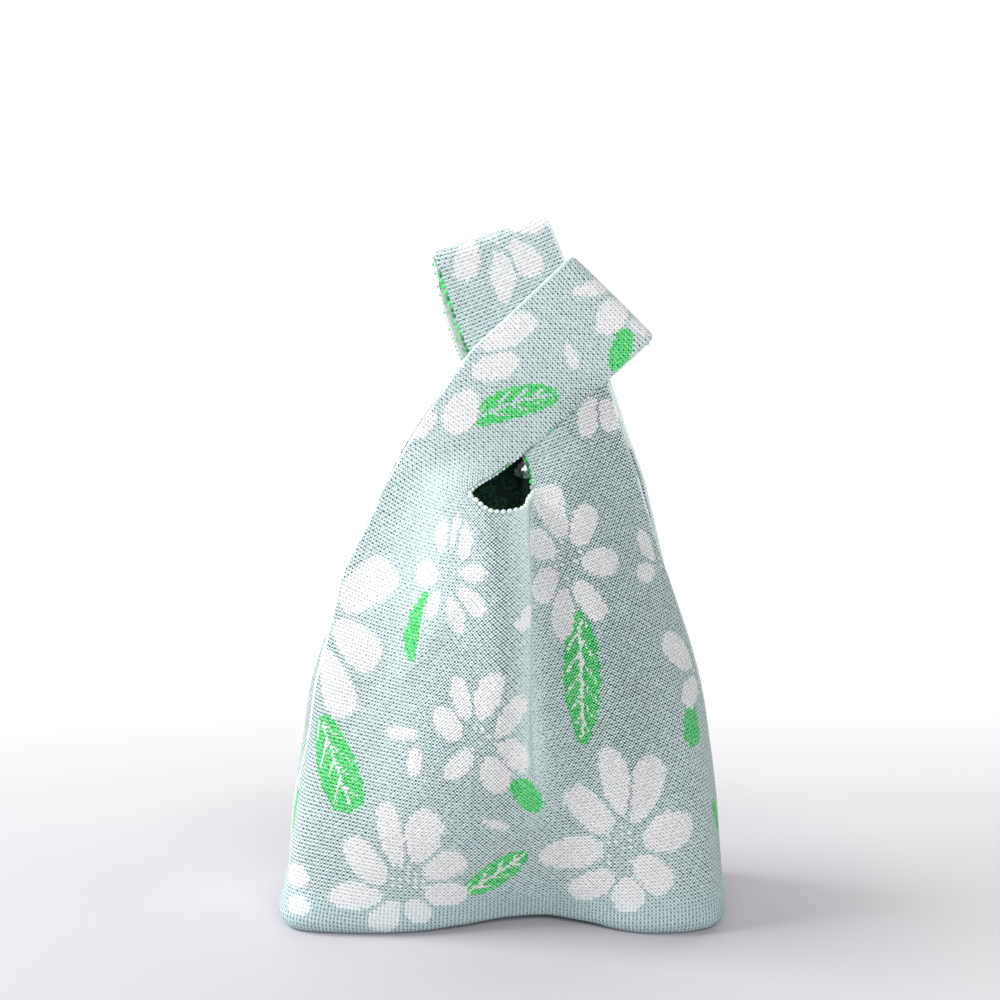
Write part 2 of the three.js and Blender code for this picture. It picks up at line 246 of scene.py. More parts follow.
def smooth(start: float, end: float, value: Array) -> Array:
    """A smooth step from 0 at its start to 1 at its end, which may be the lower one."""
    t = np.clip((value - start) / (end - start), 0, 1)
    return t * t * (3 - 2 * t)


def run_length(line: Array) -> Array:
    """Length along a line of points, up to each of them."""
    return np.concatenate([[0], np.cumsum(np.linalg.norm(np.diff(line, axis=0), axis=1))])


def run_share(line: Array) -> Array:
    """Share of a line's length that lies before each of its points."""
    length = run_length(line)
    return length / length[-1]


def divided(counts: Sequence[int], first: int = 0) -> Array:
    """Places along a row of spans, counted in spans from the first, each cut into its count."""
    parts = [first + k + np.arange(count) / count for k, count in enumerate(counts)]
    return np.append(np.concatenate(parts), first + len(counts))


def along_aside(u: Array, v: Array, turn: float) -> tuple[Array, Array]:
    """How far places lie along a direction, in degrees anticlockwise, and to the left of it."""
    c, s = math.cos(math.radians(turn)), math.sin(math.radians(turn))
    return u * c + v * s, v * c - u * s


def gathered(corners: Array, values: Array, count: int) -> Array:
    """What all faces, or edges, give to the points at their corners, summed at each point.

    Args:
        corners: point numbers of each face, (F, K).
        values: what each face gives to each of its corners, (F, D).
        count: number of points.

    Returns:
        The sums, (count, D).
    """
    return np.stack([sum(np.bincount(corner, value, count) for corner in corners.T)
                     for value in values.T], 1)


@dataclass(frozen=True)
class Weave:
    """Sizes of the cloth and of its stitches, and how finely its surface is divided.

    Attributes:
        wale: width of a stitch.
        course: height of a stitch.
        cell: side of the surface's faces.
        cell_percentile: which of the gaps between two rows sets how many faces go between them.
        roll: how far a free edge rolls outwards.
        tip_radius: radius of the corners at the straps' tops.
        seam_ridge: height of the ridge along a side seam.
        base_inset: radius of the base's rounded edge.
        seam_run: how far the folded ends of the base reach in from it.
        floor_rows: key rows on the ground. The other numbers of rows and steps are key rows, too.
        centre: what the panels' frame is moved by.
    """

    thickness: float = 2.2
    wale: float = 1.68
    course: float = 1.8
    cell: float = 1.6
    cell_percentile: float = 70.0
    roll: float = 0.7
    tip_radius: float = 2.4
    seam_ridge: float = 0.7
    base_inset: float = 4.5
    seam_run: float = 22.0
    floor_rows: int = 3
    rounding_rows: int = 4
    wall_steps: int = 2
    strap_steps: int = 2
    cap_rows: int = 3
    centre: Pair = (1.2, -2.0)


@dataclass
class PanelShape:
    """One cut panel as it stands: half of the base, the walls and one layer of both straps.

    Attributes:
        first_strap: the strap at the row's start.
        neck: the stations between which the neck lies.
        column: how far across each point lies, in columns of the plain solid.
        flush: whether a point lies where the two panels are joined.
        column_at: number in a row of each of those columns.
        seam_lines: point numbers up the side seams. The other lines are point numbers, too.
        open_sides: the same edges above the seams.
        free_lines: the first and the last edge of each strap.
    """

    side: Side
    stations: Sequence[Station]
    first_strap: Sequence[Section]
    second_strap: Sequence[Section]
    neck: tuple[str, str]
    weave: Weave = field(default_factory=Weave)
    points: Array = field(init=False)
    faces: Array = field(init=False)
    column: Array = field(init=False)
    flush: Array = field(init=False)
    column_at: Array = field(init=False)
    seam_lines: list[Array] = field(init=False)
    open_sides: list[Array] = field(init=False)
    base_line: Array = field(init=False)
    neck_line: Array = field(init=False)
    free_lines: list[Array] = field(init=False)

    def station_columns(self) -> Array:
        """The column of each station in the plain solid's grid."""
        return np.cumsum([0] + [station.steps for station in self.stations[:-1]])

    def column_of(self, name: str) -> int:
        """The column of one station."""
        return int(self.station_columns()[[station.name for station in self.stations].index(name)])

    def trait(self, name: str, column: Array) -> Array:
        """A number given for each station, such as its lean, at other columns."""
        return np.interp(column, self.station_columns(), [getattr(s, name) for s in self.stations])

    def station_places(self, first: int = 0) -> Array:
        """Places of all columns, counted in stations from the first."""
        return divided([station.steps for station in self.stations[:-1]], first)

    def sewn_row(self, level: Level) -> Array:
        """A level that goes round the bag, from one side seam to the other."""
        ring = np.array([(x, y, level.z) for x, y in (*level.front, *level.back)], float)
        first = 0 if self.side is Side.FRONT else len(level.front) - 1
        return centripetal(ring, self.station_places(first), closed=True)

    def free_row(self, level: Level) -> Array:
        """A level above the side seams, from one free edge to the other."""
        knots = np.array(level.front if self.side is Side.FRONT else level.back, float)
        return centripetal(knots, self.station_places())

    def base_rows(self, lowest: Array) -> list[Array]:
        """Rows from the base seam outwards over the ground, then up round the base's edge.

        Args:
            lowest: the lowest sewn level.

        Returns:
            The rows, the first on the base seam.
        """
        w = self.weave
        places = self.station_places()
        before = places.astype(int)
        lift = np.array([station.lift for station in self.stations])
        after = np.minimum(before + 1, len(lift) - 1)
        lifts = lift[before] + (lift[after] - lift[before]) * smooth(0, 1, places - before)
        direction = np.sign(lowest[-1, 0] - lowest[0, 0])
        end_run = direction * (w.base_inset + w.seam_run)
        start, end = lowest[0, 0] + end_run, lowest[-1, 0] - end_run
        share = run_share(lowest)
        padded = np.concatenate([lowest[:1], lowest, lowest[-1:]])
        along = unit(padded[2:] - padded[:-2])
        inward = np.stack([along[:, 1], -along[:, 0], np.zeros(len(along))], 1)
        inward *= self.side.value * direction
        inward[0] = (direction, 0, 0)
        inward[-1] = (-direction, 0, 0)
        foot = w.thickness / 2
        edge = lowest + inward * w.base_inset
        rows = []
        for t in np.arange(w.floor_rows) / w.floor_rows:
            x = (start + (end - start) * share) * (1 - t) + edge[:, 0] * t
            rows.append(np.stack([x, edge[:, 1] * t, foot + lifts * t * t], 1))
        for angle in np.arange(w.rounding_rows) / w.rounding_rows * math.pi / 2:
            rounded = lowest + inward * w.base_inset * (1 - math.sin(angle))
            rounded[:, 2] = lowest[:, 2] - (lowest[:, 2] - foot - lifts) * math.cos(angle)
            rows.append(rounded)
        return rows

    def strap_rows(self, sections: Sequence[Section], root: Array, outside: bool) -> list[Array]:
        """Rows of a strap on the columns of the neck's row.

        Args:
            sections: the strap's cross-sections.
            root: the neck's row that the strap grows from.
            outside: whether the row's first point is the strap's outer edge.

        Returns:
            One row for each section.
        """
        share = run_share(root)[:, None]
        rows = []
        for section in sections:
            ends = (section.outer, section.inner) if outside else (section.inner, section.outer)
            row = np.array(ends[0], float) * (1 - share) + np.array(ends[1], float) * share
            row[:, 1] += self.side.value * section.crown * 4 * (share * (1 - share))[:, 0]
            rows.append(row)
        return rows

    def cap_rows(self, before: Array, last: Array) -> list[Array]:
        """Rows of the turn at a strap's top: a quarter circle from the last row to the middle plane."""
        rows = []
        along = unit((last - before) * (1, 0, 1))
        depth = np.abs(last[:, 1:2])
        for row in range(1, self.weave.cap_rows + 1):
            angle = row / self.weave.cap_rows * math.pi / 2
            turned = last + along * depth * math.sin(angle)
            turned[:, 1] = self.side.value * depth[:, 0] * math.cos(angle)
            rows.append(turned)
        return rows

    def rounded_tip(self, grid: Array) -> Array:
        """A strap's grid with round corners at its top: the rows there are drawn in along a circle."""
        radius = self.weave.tip_radius
        below = np.linalg.norm((grid - grid[-1]) * (1, 0, 1), axis=2)
        inset = radius - np.sqrt(radius ** 2 - np.maximum(radius - below, 0) ** 2)
        middle = (grid[:, :1] + grid[:, -1:]) / 2
        half = np.linalg.norm(grid[:, :1] - middle, axis=2)
        return middle + (grid - middle) * (1 - inset / half)[:, :, None]

    @staticmethod
    def between(keys: Sequence[Array], steps: int) -> Array:
        """Rows on smooth curves through key rows, from the second key row on."""
        where = np.arange((len(keys) - 2) * steps + 1) / steps + 1
        return centripetal(np.array(keys), where)

    @staticmethod
    def finer(rows: Array, row_cells: Sequence[int], column_cells: Sequence[int]) -> Array:
        """A grid divided further along both directions, on smooth curves."""
        tall = centripetal(rows, divided(row_cells))
        return centripetal(tall.swapaxes(0, 1), divided(column_cells)).swapaxes(0, 1)

    def cells(self, grid: Array) -> list[int]:
        """How many faces go between the rows of a grid, for the wanted size of face."""
        gaps = np.linalg.norm(np.diff(grid, axis=0), axis=2)
        typical = np.percentile(gaps, self.weave.cell_percentile, axis=1)
        return [max(1, round(float(gap) / self.weave.cell)) for gap in typical]

    def strap_grid(self, below: Array, roots: Array, sections: Sequence[Section], outside: bool,
                   column_cells: Sequence[int]) -> Array:
        """A strap's fine grid, from the row over the neck's up to its rounded top.

        Args:
            below: the body's row below the neck's, at the strap's columns.
            roots: the two free levels at the same columns, the neck's last.
            sections: the strap's cross-sections.
            outside: whether a row's first point is the strap's outer edge.
            column_cells: faces in each of the strap's columns.

        Returns:
            The grid.
        """
        keys = [*roots, *self.strap_rows(sections, roots[-1], outside)]
        rows = self.between(keys, self.weave.strap_steps)
        rows = np.array([*rows, *self.cap_rows(rows[-2], rows[-1])])
        lead = np.concatenate([below[None], rows])
        return self.rounded_tip(self.finer(lead, [1, *self.cells(rows)], column_cells)[2:])

    def build(self) -> "PanelShape":
        """Works out the fine middle surface: points, rows of point numbers, and four-cornered faces."""
        w = self.weave
        sewn = [self.sewn_row(level) for level in SEWN_LEVELS]
        free = np.array([self.free_row(level) for level in FREE_LEVELS])
        base = self.base_rows(sewn[0])
        walls = self.between([base[-1], *sewn, *free], w.wall_steps)
        seams = self.between([base[-1], *sewn], w.wall_steps)
        walls[: len(seams), [0, -1]] = seams[:, [0, -1]]
        body = np.array([*base, *walls])
        column_cells = self.cells(body[len(base):-len(free) * w.wall_steps].swapaxes(0, 1))
        row_cells = self.cells(body)
        fine = self.finer(body, row_cells, column_cells)
        places = divided(column_cells)
        numbers = np.arange(fine.shape[0] * fine.shape[1]).reshape(fine.shape[:2])
        sewn_rows = sum(row_cells[: len(base) + len(seams) - 1]) + 1
        self.seam_lines = [numbers[:sewn_rows, 0], numbers[:sewn_rows, -1]]
        self.open_sides = [numbers[sewn_rows - 1:, 0], numbers[sewn_rows - 1:, -1]]
        self.base_line = numbers[0]
        self.free_lines = []
        self.column_at = np.cumsum([0, *column_cells])
        left, right = (self.column_of(name) for name in self.neck)
        self.neck_line = numbers[-1, self.column_at[left]:self.column_at[right] + 1]
        blocks, column = [fine.reshape(-1, 3)], [np.tile(places, len(fine))]
        strips = list(zip(numbers[:-1], numbers[1:]))
        joined = [self.base_line, *self.seam_lines]
        ends = ((self.first_strap, 0, left), (self.second_strap, right, len(column_cells)))
        for sections, low, high in ends:
            over = slice(low, high + 1)
            grid = self.strap_grid(body[-2, over], free[:, over], sections, low == 0,
                                   column_cells[low:high])
            start = sum(len(block) for block in blocks)
            own = start + np.arange(grid.shape[0] * grid.shape[1]).reshape(grid.shape[:2])
            cut = slice(self.column_at[low], self.column_at[high] + 1)
            chain = np.array([numbers[-1, cut], *own])
            strips += list(zip(chain[:-1], chain[1:]))
            blocks.append(grid.reshape(-1, 3))
            column.append(np.tile(places[cut], len(grid)))
            joined.append(own[-1])
            self.free_lines += [chain[:, 0], chain[:, -1]]
        self.points = np.concatenate(blocks)
        self.column = np.concatenate(column)
        self.faces = np.concatenate([np.stack([low[:-1], low[1:], high[1:], high[:-1]], 1)
                                     for low, high in strips])
        self.flush = np.zeros(len(self.points), bool)
        self.flush[np.concatenate(joined)] = True
        return self

    def normals(self) -> Array:
        """Outward normals of the points, level in Y where the two panels meet."""
        a, b, c, d = (self.points[self.faces[:, k]] for k in range(4))
        total = gathered(self.faces, np.cross(c - a, d - b), len(self.points))
        total[self.flush, 1] = 0
        return unit(total)


@dataclass(frozen=True)
class Fold:
    """A soft fold in the cloth, placed by hand on the flat knit.

    Attributes:
        u: place of its middle across the wales.
        v: place of its middle along the wales.
        length: from end to end.
        width: half of its width.
        turn: direction, anticlockwise from across.
        rise: height, below nothing for a trough.
    """

    u: float
    v: float
    length: float
    width: float
    turn: float
    rise: float

    def height(self, u: Array, v: Array) -> Array:
        """How far the cloth stands out: a bell across the fold, faded towards its ends."""
        along, aside = along_aside(u - self.u, v - self.v, self.turn)
        return self.rise * np.exp(-((aside / self.width) ** 2) - (along / self.length * 2) ** 4)


FRONT_FOLDS = (
    Fold(-62, 178, 120, 9, 62, 0.9), Fold(-44, 196, 90, 7, 58, -0.8), Fold(-88, 150, 70, 10, 70, -0.7),
    Fold(-96, 232, 60, 7, 48, 0.6), Fold(-70, 285, 60, 6, 70, -0.5), Fold(-58, 330, 50, 6, 20, 0.5),
    Fold(60, 205, 100, 8, 100, 0.7), Fold(82, 180, 90, 7, 96, -0.7), Fold(104, 130, 80, 9, 98, 0.7),
    Fold(70, 110, 60, 8, 60, -0.6), Fold(30, 60, 50, 8, 80, 0.6), Fold(-30, 50, 60, 8, 100, -0.6),
    Fold(-70, 34, 60, 6, 10, 0.6), Fold(66, 30, 60, 6, -8, 0.6), Fold(-104, 90, 70, 8, 80, 0.8),
    Fold(100, 60, 60, 8, 70, -0.6), Fold(-20, 120, 70, 9, 85, 0.5), Fold(92, 330, 60, 6, 100, 0.5),
)
BACK_FOLDS = (
    Fold(-60, 180, 120, 10, 110, 1.0), Fold(-36, 150, 100, 9, 100, -0.9),
    Fold(40, 170, 110, 9, 75, 0.9), Fold(70, 140, 90, 9, 70, -0.8),
    Fold(0, 110, 90, 10, 90, 0.7), Fold(-90, 90, 70, 8, 80, 0.7),
    Fold(92, 80, 70, 8, 100, 0.7), Fold(-30, 40, 60, 7, 15, 0.6), Fold(40, 36, 60, 7, -12, 0.6),
    Fold(-80, 290, 60, 6, 70, -0.5), Fold(84, 300, 60, 6, 105, 0.5),
)


@dataclass
class KnitLines:
    """Where every point of a panel lies in the flat knit, in millimetres across and along the wales.

    The flat coordinates are those whose slopes over the surface come closest to one across and one
    along the wales, in the sense of least squares over all edges. Down the deep fold under the neck the
    knit is left free to part, because the fold hides it.

    Attributes:
        level: share of straight up from which a face's normal makes it part of the base.
        floor_weight: how much such faces count.
        fold_opens: heights between which the knit in the fold is let go.
        let_go: the share of its hold that it loses.
        leaning: heights between which the wales start to lean and, in the other pair, stop.
        drawn_up: heights between which the stitches start to be drawn wide.
        guess_row: the row whose length gives a first guess across the wales.
        rounds: steps that the least squares take at most.
        tolerance: share of the first error, squared, at which they stop.
    """

    shape: PanelShape
    level: float = 0.8
    floor_weight: float = 0.05
    fold_opens: Pair = (88.0, 122.0)
    let_go: float = 0.9995
    leaning: tuple[Pair, Pair] = ((40.0, 105.0), (245.0, 215.0))
    drawn_up: Pair = (30.0, 110.0)
    guess_row: int = 40
    rounds: int = 700
    tolerance: float = 1e-8

    def drawn(self, column: Array, height: Array) -> Array:
        """How much wider than elsewhere the stitches are at some columns and heights."""
        return 1 + (self.shape.trait("spread", column) - 1) * smooth(*self.drawn_up, height)

    def solve(self) -> tuple[Array, Array, Array]:
        """Works out where the knit's lines run.

        Returns:
            Flat place and stitch numbers of each point, both (N, 2), and its stitch's spread.
        """
        shape, weave = self.shape, self.shape.weave
        points, faces = shape.points, shape.faces
        a, b, c, d = faces.T
        pa, pb, pc, pd = (points[k] for k in (a, b, c, d))
        rise, reach = pd - pa + pc - pb, pb - pa + pc - pd
        up = unit(rise)
        over = unit(reach - (reach * up).sum(1, keepdims=True) * up)
        column, height = shape.column[faces].mean(1), points[faces, 2].mean(1)
        body = smooth(*self.leaning[0], height) * smooth(*self.leaning[1], height)
        lean = (np.radians(shape.trait("lean", column)) * body)[:, None]
        along = np.cos(lean) * up - np.sin(lean) * over
        across = np.cos(lean) * over + np.sin(lean) * up
        weight = np.where(np.abs(np.cross(over, up)[:, 2]) > self.level, self.floor_weight, 1.0)
        if shape.side is Side.FRONT:
            hidden = (column > shape.column_of("noseTurn") + 1) & (column < shape.column_of("foldBack"))
            weight = weight * np.where(hidden, 1 - self.let_go * smooth(*self.fold_opens, height), 1.0)
        wide, tall = (np.linalg.norm(size, axis=1) / 2 for size in (reach, rise))
        tails, heads = np.concatenate([a, d, a, b]), np.concatenate([b, c, d, c])
        strength = np.concatenate([weight * tall / wide] * 2 + [weight * wide / tall] * 2)
        edges = points[heads] - points[tails]
        targets = [(edges * np.tile(way, (4, 1))).sum(1) for way in (across, along)]
        middle = shape.base_line[len(shape.base_line) // 2]

        def solved(reaches: Sequence[Array], starts: Sequence[Array]) -> Array:
            """Places whose steps come close to these reaches, counted from the middle of the base."""
            values = [self.relax(tails, heads, strength, r, s) for r, s in zip(reaches, starts)]
            return np.stack([value - value[middle] for value in values], 1)

        flat = solved(targets, (np.interp(shape.column, *self.row_length()), points[:, 2].copy()))
        drawn = np.tile(self.drawn(column, height), 4)
        counts = (targets[0] / drawn / weave.wale, targets[1] / weave.course)
        stitches = solved(counts, (flat[:, 0] / weave.wale, flat[:, 1] / weave.course))
        return flat, stitches, self.drawn(shape.column, points[:, 2])

    def row_length(self) -> tuple[Array, Array]:
        """Column numbers and the length along a low row, as a first guess across the wales."""
        count = self.shape.column_at[-1] + 1
        start = self.guess_row * count
        return self.shape.column[:count], run_length(self.shape.points[start:start + count])

    def relax(self, tails: Array, heads: Array, strength: Array, target: Array, start: Array) -> Array:
        """Least squares by conjugate gradients: head minus tail comes close to the target on each edge.

        Args:
            tails: first point of each edge.
            heads: second point of each edge.
            strength: weight of each edge.
            target: wanted difference over each edge.
            start: a first guess.

        Returns:
            The value at each point.
        """
        count = len(start)

        def gather(flow: Array) -> Array:
            """Sums what flows into each point."""
            return np.bincount(heads, flow, count) - np.bincount(tails, flow, count)

        scale = np.bincount(heads, strength, count) + np.bincount(tails, strength, count)
        value = start
        rest = gather(strength * (target - value[heads] + value[tails]))
        way = ready = rest / scale
        size = rest @ ready
        limit = size * self.tolerance
        for _ in range(self.rounds):
            pushed = gather(strength * (way[heads] - way[tails]))
            step = size / (way @ pushed)
            value = value + step * way
            rest = rest - step * pushed
            ready = rest / scale
            new = rest @ ready
            way = ready + way * new / size
            size = new
            if size < limit:
                break
        return value


# ---- Flowers and leaves in the knit ----------------------------------------------------------------


OUTSIDE = -9.0


@dataclass(frozen=True)
class Petal:
    """A petal on the flat knit, in millimetres.

    Attributes:
        u: place of its middle across the wales.
        v: place of its middle along the wales.
        length: from end to end.
        width: in its middle.
        turn: direction of its tip, anticlockwise from across.
        taper: how much wider it is towards its tip.
        blunt: 1 for a rhombus, 2 for an ellipse, more for a rectangle.
    """

    NARROWEST = 0.35
    WIDEST = 1.6

    u: float
    v: float
    length: float
    width: float
    turn: float
    taper: float = 0.14
    blunt: float = 2.0

    def local(self, u: Array, v: Array) -> tuple[Array, Array]:
        """Places along and across the petal."""
        return along_aside(u - self.u, v - self.v, self.turn)

    def depth(self, u: Array, v: Array) -> Array:
        """How deep a place lies inside the petal, about in millimetres: below nothing outside."""
        x, y = self.local(u, v)
        half = self.length / 2
        wide = self.width / 2 * np.clip(1 + self.taper * x / half, self.NARROWEST, self.WIDEST)
        q = ((np.abs(x) / half) ** self.blunt + (np.abs(y) / wide) ** self.blunt) ** (1 / self.blunt)
        return (1 - q) * min(half, self.width / 2)


@dataclass(frozen=True)
class Leaf(Petal):
    """A pointed leaf that may be bent like a bow, with veins where it is big enough.

    Attributes:
        bend: how far its middle lies to the left of the line from its foot to its tip.
        veins: distance between side veins, or nothing.
        pale: whether the veins are knitted in the white yarn, rather than in the ground's.
    """

    RIB = 0.7
    RIB_REACH = 0.42
    SIDE_VEIN = 0.55
    STEEP = 1.6
    STAGGER = 0.35
    MARGIN = 1.6

    bend: float = 0.0
    veins: float = 0.0
    pale: bool = True

    def local(self, u: Array, v: Array) -> tuple[Array, Array]:
        """Places along and across the leaf, with its bow laid straight."""
        x, y = super().local(u, v)
        return x, y - self.bend * (1 - (2 * x / self.length) ** 2)

    def depth(self, u: Array, v: Array) -> Array:
        """How deep a place lies inside the leaf: half its width there less the way off its middle."""
        x, y = self.local(u, v)
        share = np.clip(1 - (2 * x / self.length) ** 2, 0, 1)
        past = np.maximum(np.abs(x) - self.length / 2, 0)
        wide = self.width / 2 * share ** (1 / self.blunt) * (1 + self.taper * 2 * x / self.length)
        return wide - np.abs(y) - past

    def vein_depth(self, u: Array, v: Array) -> Array:
        """How deep a place lies inside a vein: the midrib, and side veins that lean to the tip."""
        x, y = self.local(u, v)
        if not self.veins:
            return np.full_like(x, OUTSIDE)
        rib = self.RIB - np.abs(y) - 2 * np.maximum(np.abs(x) - self.RIB_REACH * self.length, 0)
        slant = (x - self.STEEP * np.abs(y)) / self.veins + np.where(y > 0, 0.0, self.STAGGER)
        away = np.abs(slant - np.round(slant)) * self.veins / math.hypot(1, self.STEEP)
        return np.maximum(rib, np.minimum(self.SIDE_VEIN - away, self.depth(u, v) - self.MARGIN))


@dataclass(frozen=True)
class Flower:
    """A flower on the flat knit: its middle with scattered white stitches, and its petals.

    Attributes:
        u: place of its middle across the wales.
        v: place of its middle along the wales.
        reach: how far the scattered stitches go.
        petals: the numbers of each petal, in the order of Petal.
    """

    u: float
    v: float
    reach: float
    petals: Sequence[Sequence[float]]

    def at(self, u: float, v: float, turn: float = 0.0) -> "Flower":
        """The flower in another place, turned anticlockwise, with petals of the usual form."""
        moved = []
        for petal_u, petal_v, length, width, way, *_ in self.petals:
            over, up = along_aside(petal_u - self.u, petal_v - self.v, -turn)
            moved.append((u + over, v + up, length, width, way + turn))
        return Flower(u, v, self.reach, moved)

    def depth(self, u: Array, v: Array) -> Array:
        """How deep a place lies among the scattered stitches."""
        return self.reach - np.hypot(u - self.u, v - self.v)


@dataclass(frozen=True)
class Motif:
    """All that is knitted into one panel.

    Attributes:
        flowers: the flowers.
        loose: white petals that belong to none of them.
        leaves: the green leaves.
    """

    GAP = 1.5
    RAGGED = 0.35

    flowers: Sequence[Flower]
    loose: Sequence[Petal]
    leaves: Sequence[Leaf]

    @staticmethod
    def deepest(depths: Iterable[Array], like: Array) -> Array:
        """The greatest of several depths."""
        best = np.full_like(like, OUTSIDE)
        for depth in depths:
            best = np.maximum(best, depth)
        return best

    def white(self, u: Array, v: Array) -> Array:
        """How deep a place lies in the white yarn: petals with gaps between them, and pale veins.

        The petals' outlines are made ragged by a product of two bent sine waves.
        """
        ragged = self.RAGGED * (np.sin(u * 1.9 + 2 * np.sin(v * 0.7))
                                * np.sin(v * 1.7 + 2 * np.sin(u * 0.6)))
        petals = [Petal(*p) for flower in self.flowers for p in flower.petals] + list(self.loose)
        veins = self.deepest((leaf.vein_depth(u, v) for leaf in self.leaves if leaf.pale), u)
        best = second = np.full_like(u, OUTSIDE)
        for petal in petals:
            depth = petal.depth(u, v)
            second = np.maximum(second, np.minimum(best, depth))
            best = np.maximum(best, depth)
        return np.maximum(np.minimum(best + ragged, best - second - self.GAP), veins)

    def green(self, u: Array, v: Array) -> Array:
        """How deep a place lies in the green yarn: the leaves, less veins in the ground's yarn."""
        depths = (np.minimum(leaf.depth(u, v), -OUTSIDE if leaf.pale else -leaf.vein_depth(u, v))
                  for leaf in self.leaves)
        return self.deepest(depths, u)

    def speck(self, u: Array, v: Array) -> Array:
        """How deep a place lies in the middle of a flower."""
        return self.deepest((flower.depth(u, v) for flower in self.flowers), u)

    @staticmethod
    def with_slopes(depth: Callable[[Array, Array], Array], flat: Array, wale: Array,
                    course: float) -> Array:
        """A field and its slopes per stitch, so that the material can read it at a stitch's middle.

        Args:
            depth: the field, over places in the flat knit.
            flat: the places, (N, 2).
            wale: width of a stitch at each place.
            course: height of a stitch.

        Returns:
            Depth, its slope per wale and its slope per course, (N, 3).
        """
        u, v = flat.T
        over = depth(u + wale / 2, v) - depth(u - wale / 2, v)
        up = depth(u, v + course / 2) - depth(u, v - course / 2)
        return np.stack([depth(u, v), over, up], 1)


LOW_LEFT = Flower(-51, 76, 10, (
    (-58.6, 97.8, 31, 12, 110, 0, 2.8), (-43.7, 98.4, 29.5, 17.8, 78, 0.15, 2.1),
    (-69.8, 81.1, 27, 14.2, 135, 0, 3), (-32.8, 83.3, 21, 14.6, 34, 0.1, 2.5),
    (-72.3, 63.3, 26, 14, -171, 0, 2), (-31.8, 67.8, 20.5, 14, 0, 0, 2),
    (-57.7, 55.1, 18, 12.4, -120, 0.1, 2.5), (-44.4, 58.8, 14, 11.2, -52, 0.1),
))
LOW_RIGHT = Flower(52.4, 86.2, 11, (
    (54.8, 120, 39, 16, 93, 0.05, 1.7), (67.2, 112.8, 35, 16.8, 60, 0.22, 2.2),
    (38.4, 107.3, 29.5, 15.8, 122, 0.05, 3.2), (75.6, 89.8, 27, 19.8, 12, 0, 1.8),
    (27.3, 84.2, 32, 18, -173, -0.12, 2), (66.2, 70.6, 23.5, 15.5, -52, 0.1, 2.4),
    (37.2, 66.2, 24, 14.6, -152, 0.1, 2.4), (54.3, 61.2, 19, 16, -92, 0.05, 1.9),
))
UPPER_RIGHT = Flower(66.7, 234, 11, (
    (65.3, 260, 28, 14.6, 95, 0.4, 3.2), (78.2, 248.9, 23, 13, 55, 0.15, 2.2),
    (54.1, 245.2, 17.5, 14.8, 126, 0.25, 2.3), (81.3, 229.1, 20.5, 15, -14, 0.05, 1.8),
    (49.1, 225.3, 20.5, 13.4, -128, 0.1, 1.9), (54, 209.6, 26.5, 11.4, -111, 0.15, 2.4),
    (69, 213, 22.5, 10.8, -71, 0.1, 3),
))
MIDDLE = Flower(-18.9, 153.1, 11.5, (
    (-31.7, 171.1, 23, 9.6, 112, 0.05, 2.7), (-17.6, 173.8, 24.5, 13.9, 76, 0.1, 1.9),
    (-5.2, 163.4, 23, 10.8, 65, 0.1, 2.2), (-37, 157.8, 20, 13.5, 138, 0, 1.9),
    (-0.5, 144.4, 22, 13, -43, 0, 2.1), (-28.9, 137.3, 19, 11, -128, -0.15, 1.9),
    (-10, 134.4, 20, 14.6, -70, 0, 2.1),
))
UPPER_LEFT = Flower(-48.5, 233.7, -1, (
    (-54.6, 252.7, 18, 7.4, 92, 0.1, 1.8), (-47.2, 255.7, 19, 6.2, 86, 0.1, 1.7),
    (-41.1, 250.2, 20, 10.6, 95, 0.1, 1.5), (-59, 231, 13, 15, 172, 0.2, 1.8),
    (-34.2, 234.8, 16, 10.5, -1, 0.2, 1.6), (-33.7, 220.5, 20.5, 9.6, -42, 0.3, 2),
    (-40.9, 212.5, 20, 9, -65, 0.2, 1.8), (-53.2, 216.1, 16.5, 7.8, -97, 0.15, 1.7),
))
LEFT_EDGE = Flower(-117, 193, 9, (
    (-90.4, 214.6, 38.5, 18.6, 50, 0.25, 2.8), (-92.5, 185.8, 30, 20.5, -21, 0.25, 2.6),
    (-100.5, 163.6, 33.9, 19, -56, 0.3, 2.3),
))
RIGHT_EDGE = Flower(124, 152, 8, ((109.3, 170.9, 28, 15.2, 128), (110, 150, 20, 13, -165)))
RIGHT_HIGH = Flower(121, 218, 6, ((110.5, 228.5, 18, 8.5, 100), (105, 216.5, 12, 11, 165)))
LEFT_STRAP = Flower(-95.3, 330, 6, (
    (-89.5, 356, 30, 14, 81), (-82.4, 339.7, 23.2, 13.8, 65), (-80, 312.1, 24, 16, -81),
    (-92, 296.3, 17, 12, -94),
))
STRAP_END = Flower(-68, 420, 6, (
    (-77.1, 402.4, 22, 7.7, 62), (-61, 399, 21, 14, 98), (-47.5, 405.5, 11, 7, 10),
))
RIGHT_TOP = Flower(92.5, 400.1, 7, (
    (73.3, 396.5, 21, 12.5, -123, 0.2, 2.2), (87.1, 382.8, 26.5, 13, -104, 0, 1.5),
    (100.8, 388, 23, 12.5, -73, 0.3, 2), (108.4, 402, 19, 9, -15),
))
SHOULDER = Flower(110, 322, 5, ((100.1, 300.7, 20.7, 11.3, -116), (110.7, 298.2, 17.5, 12.3, -92)))
CORNER = Flower(-124, 60, 4, ((-105, 66.4, 17, 11.9, 4), (-99, 53.2, 12.5, 9.5, -21)))

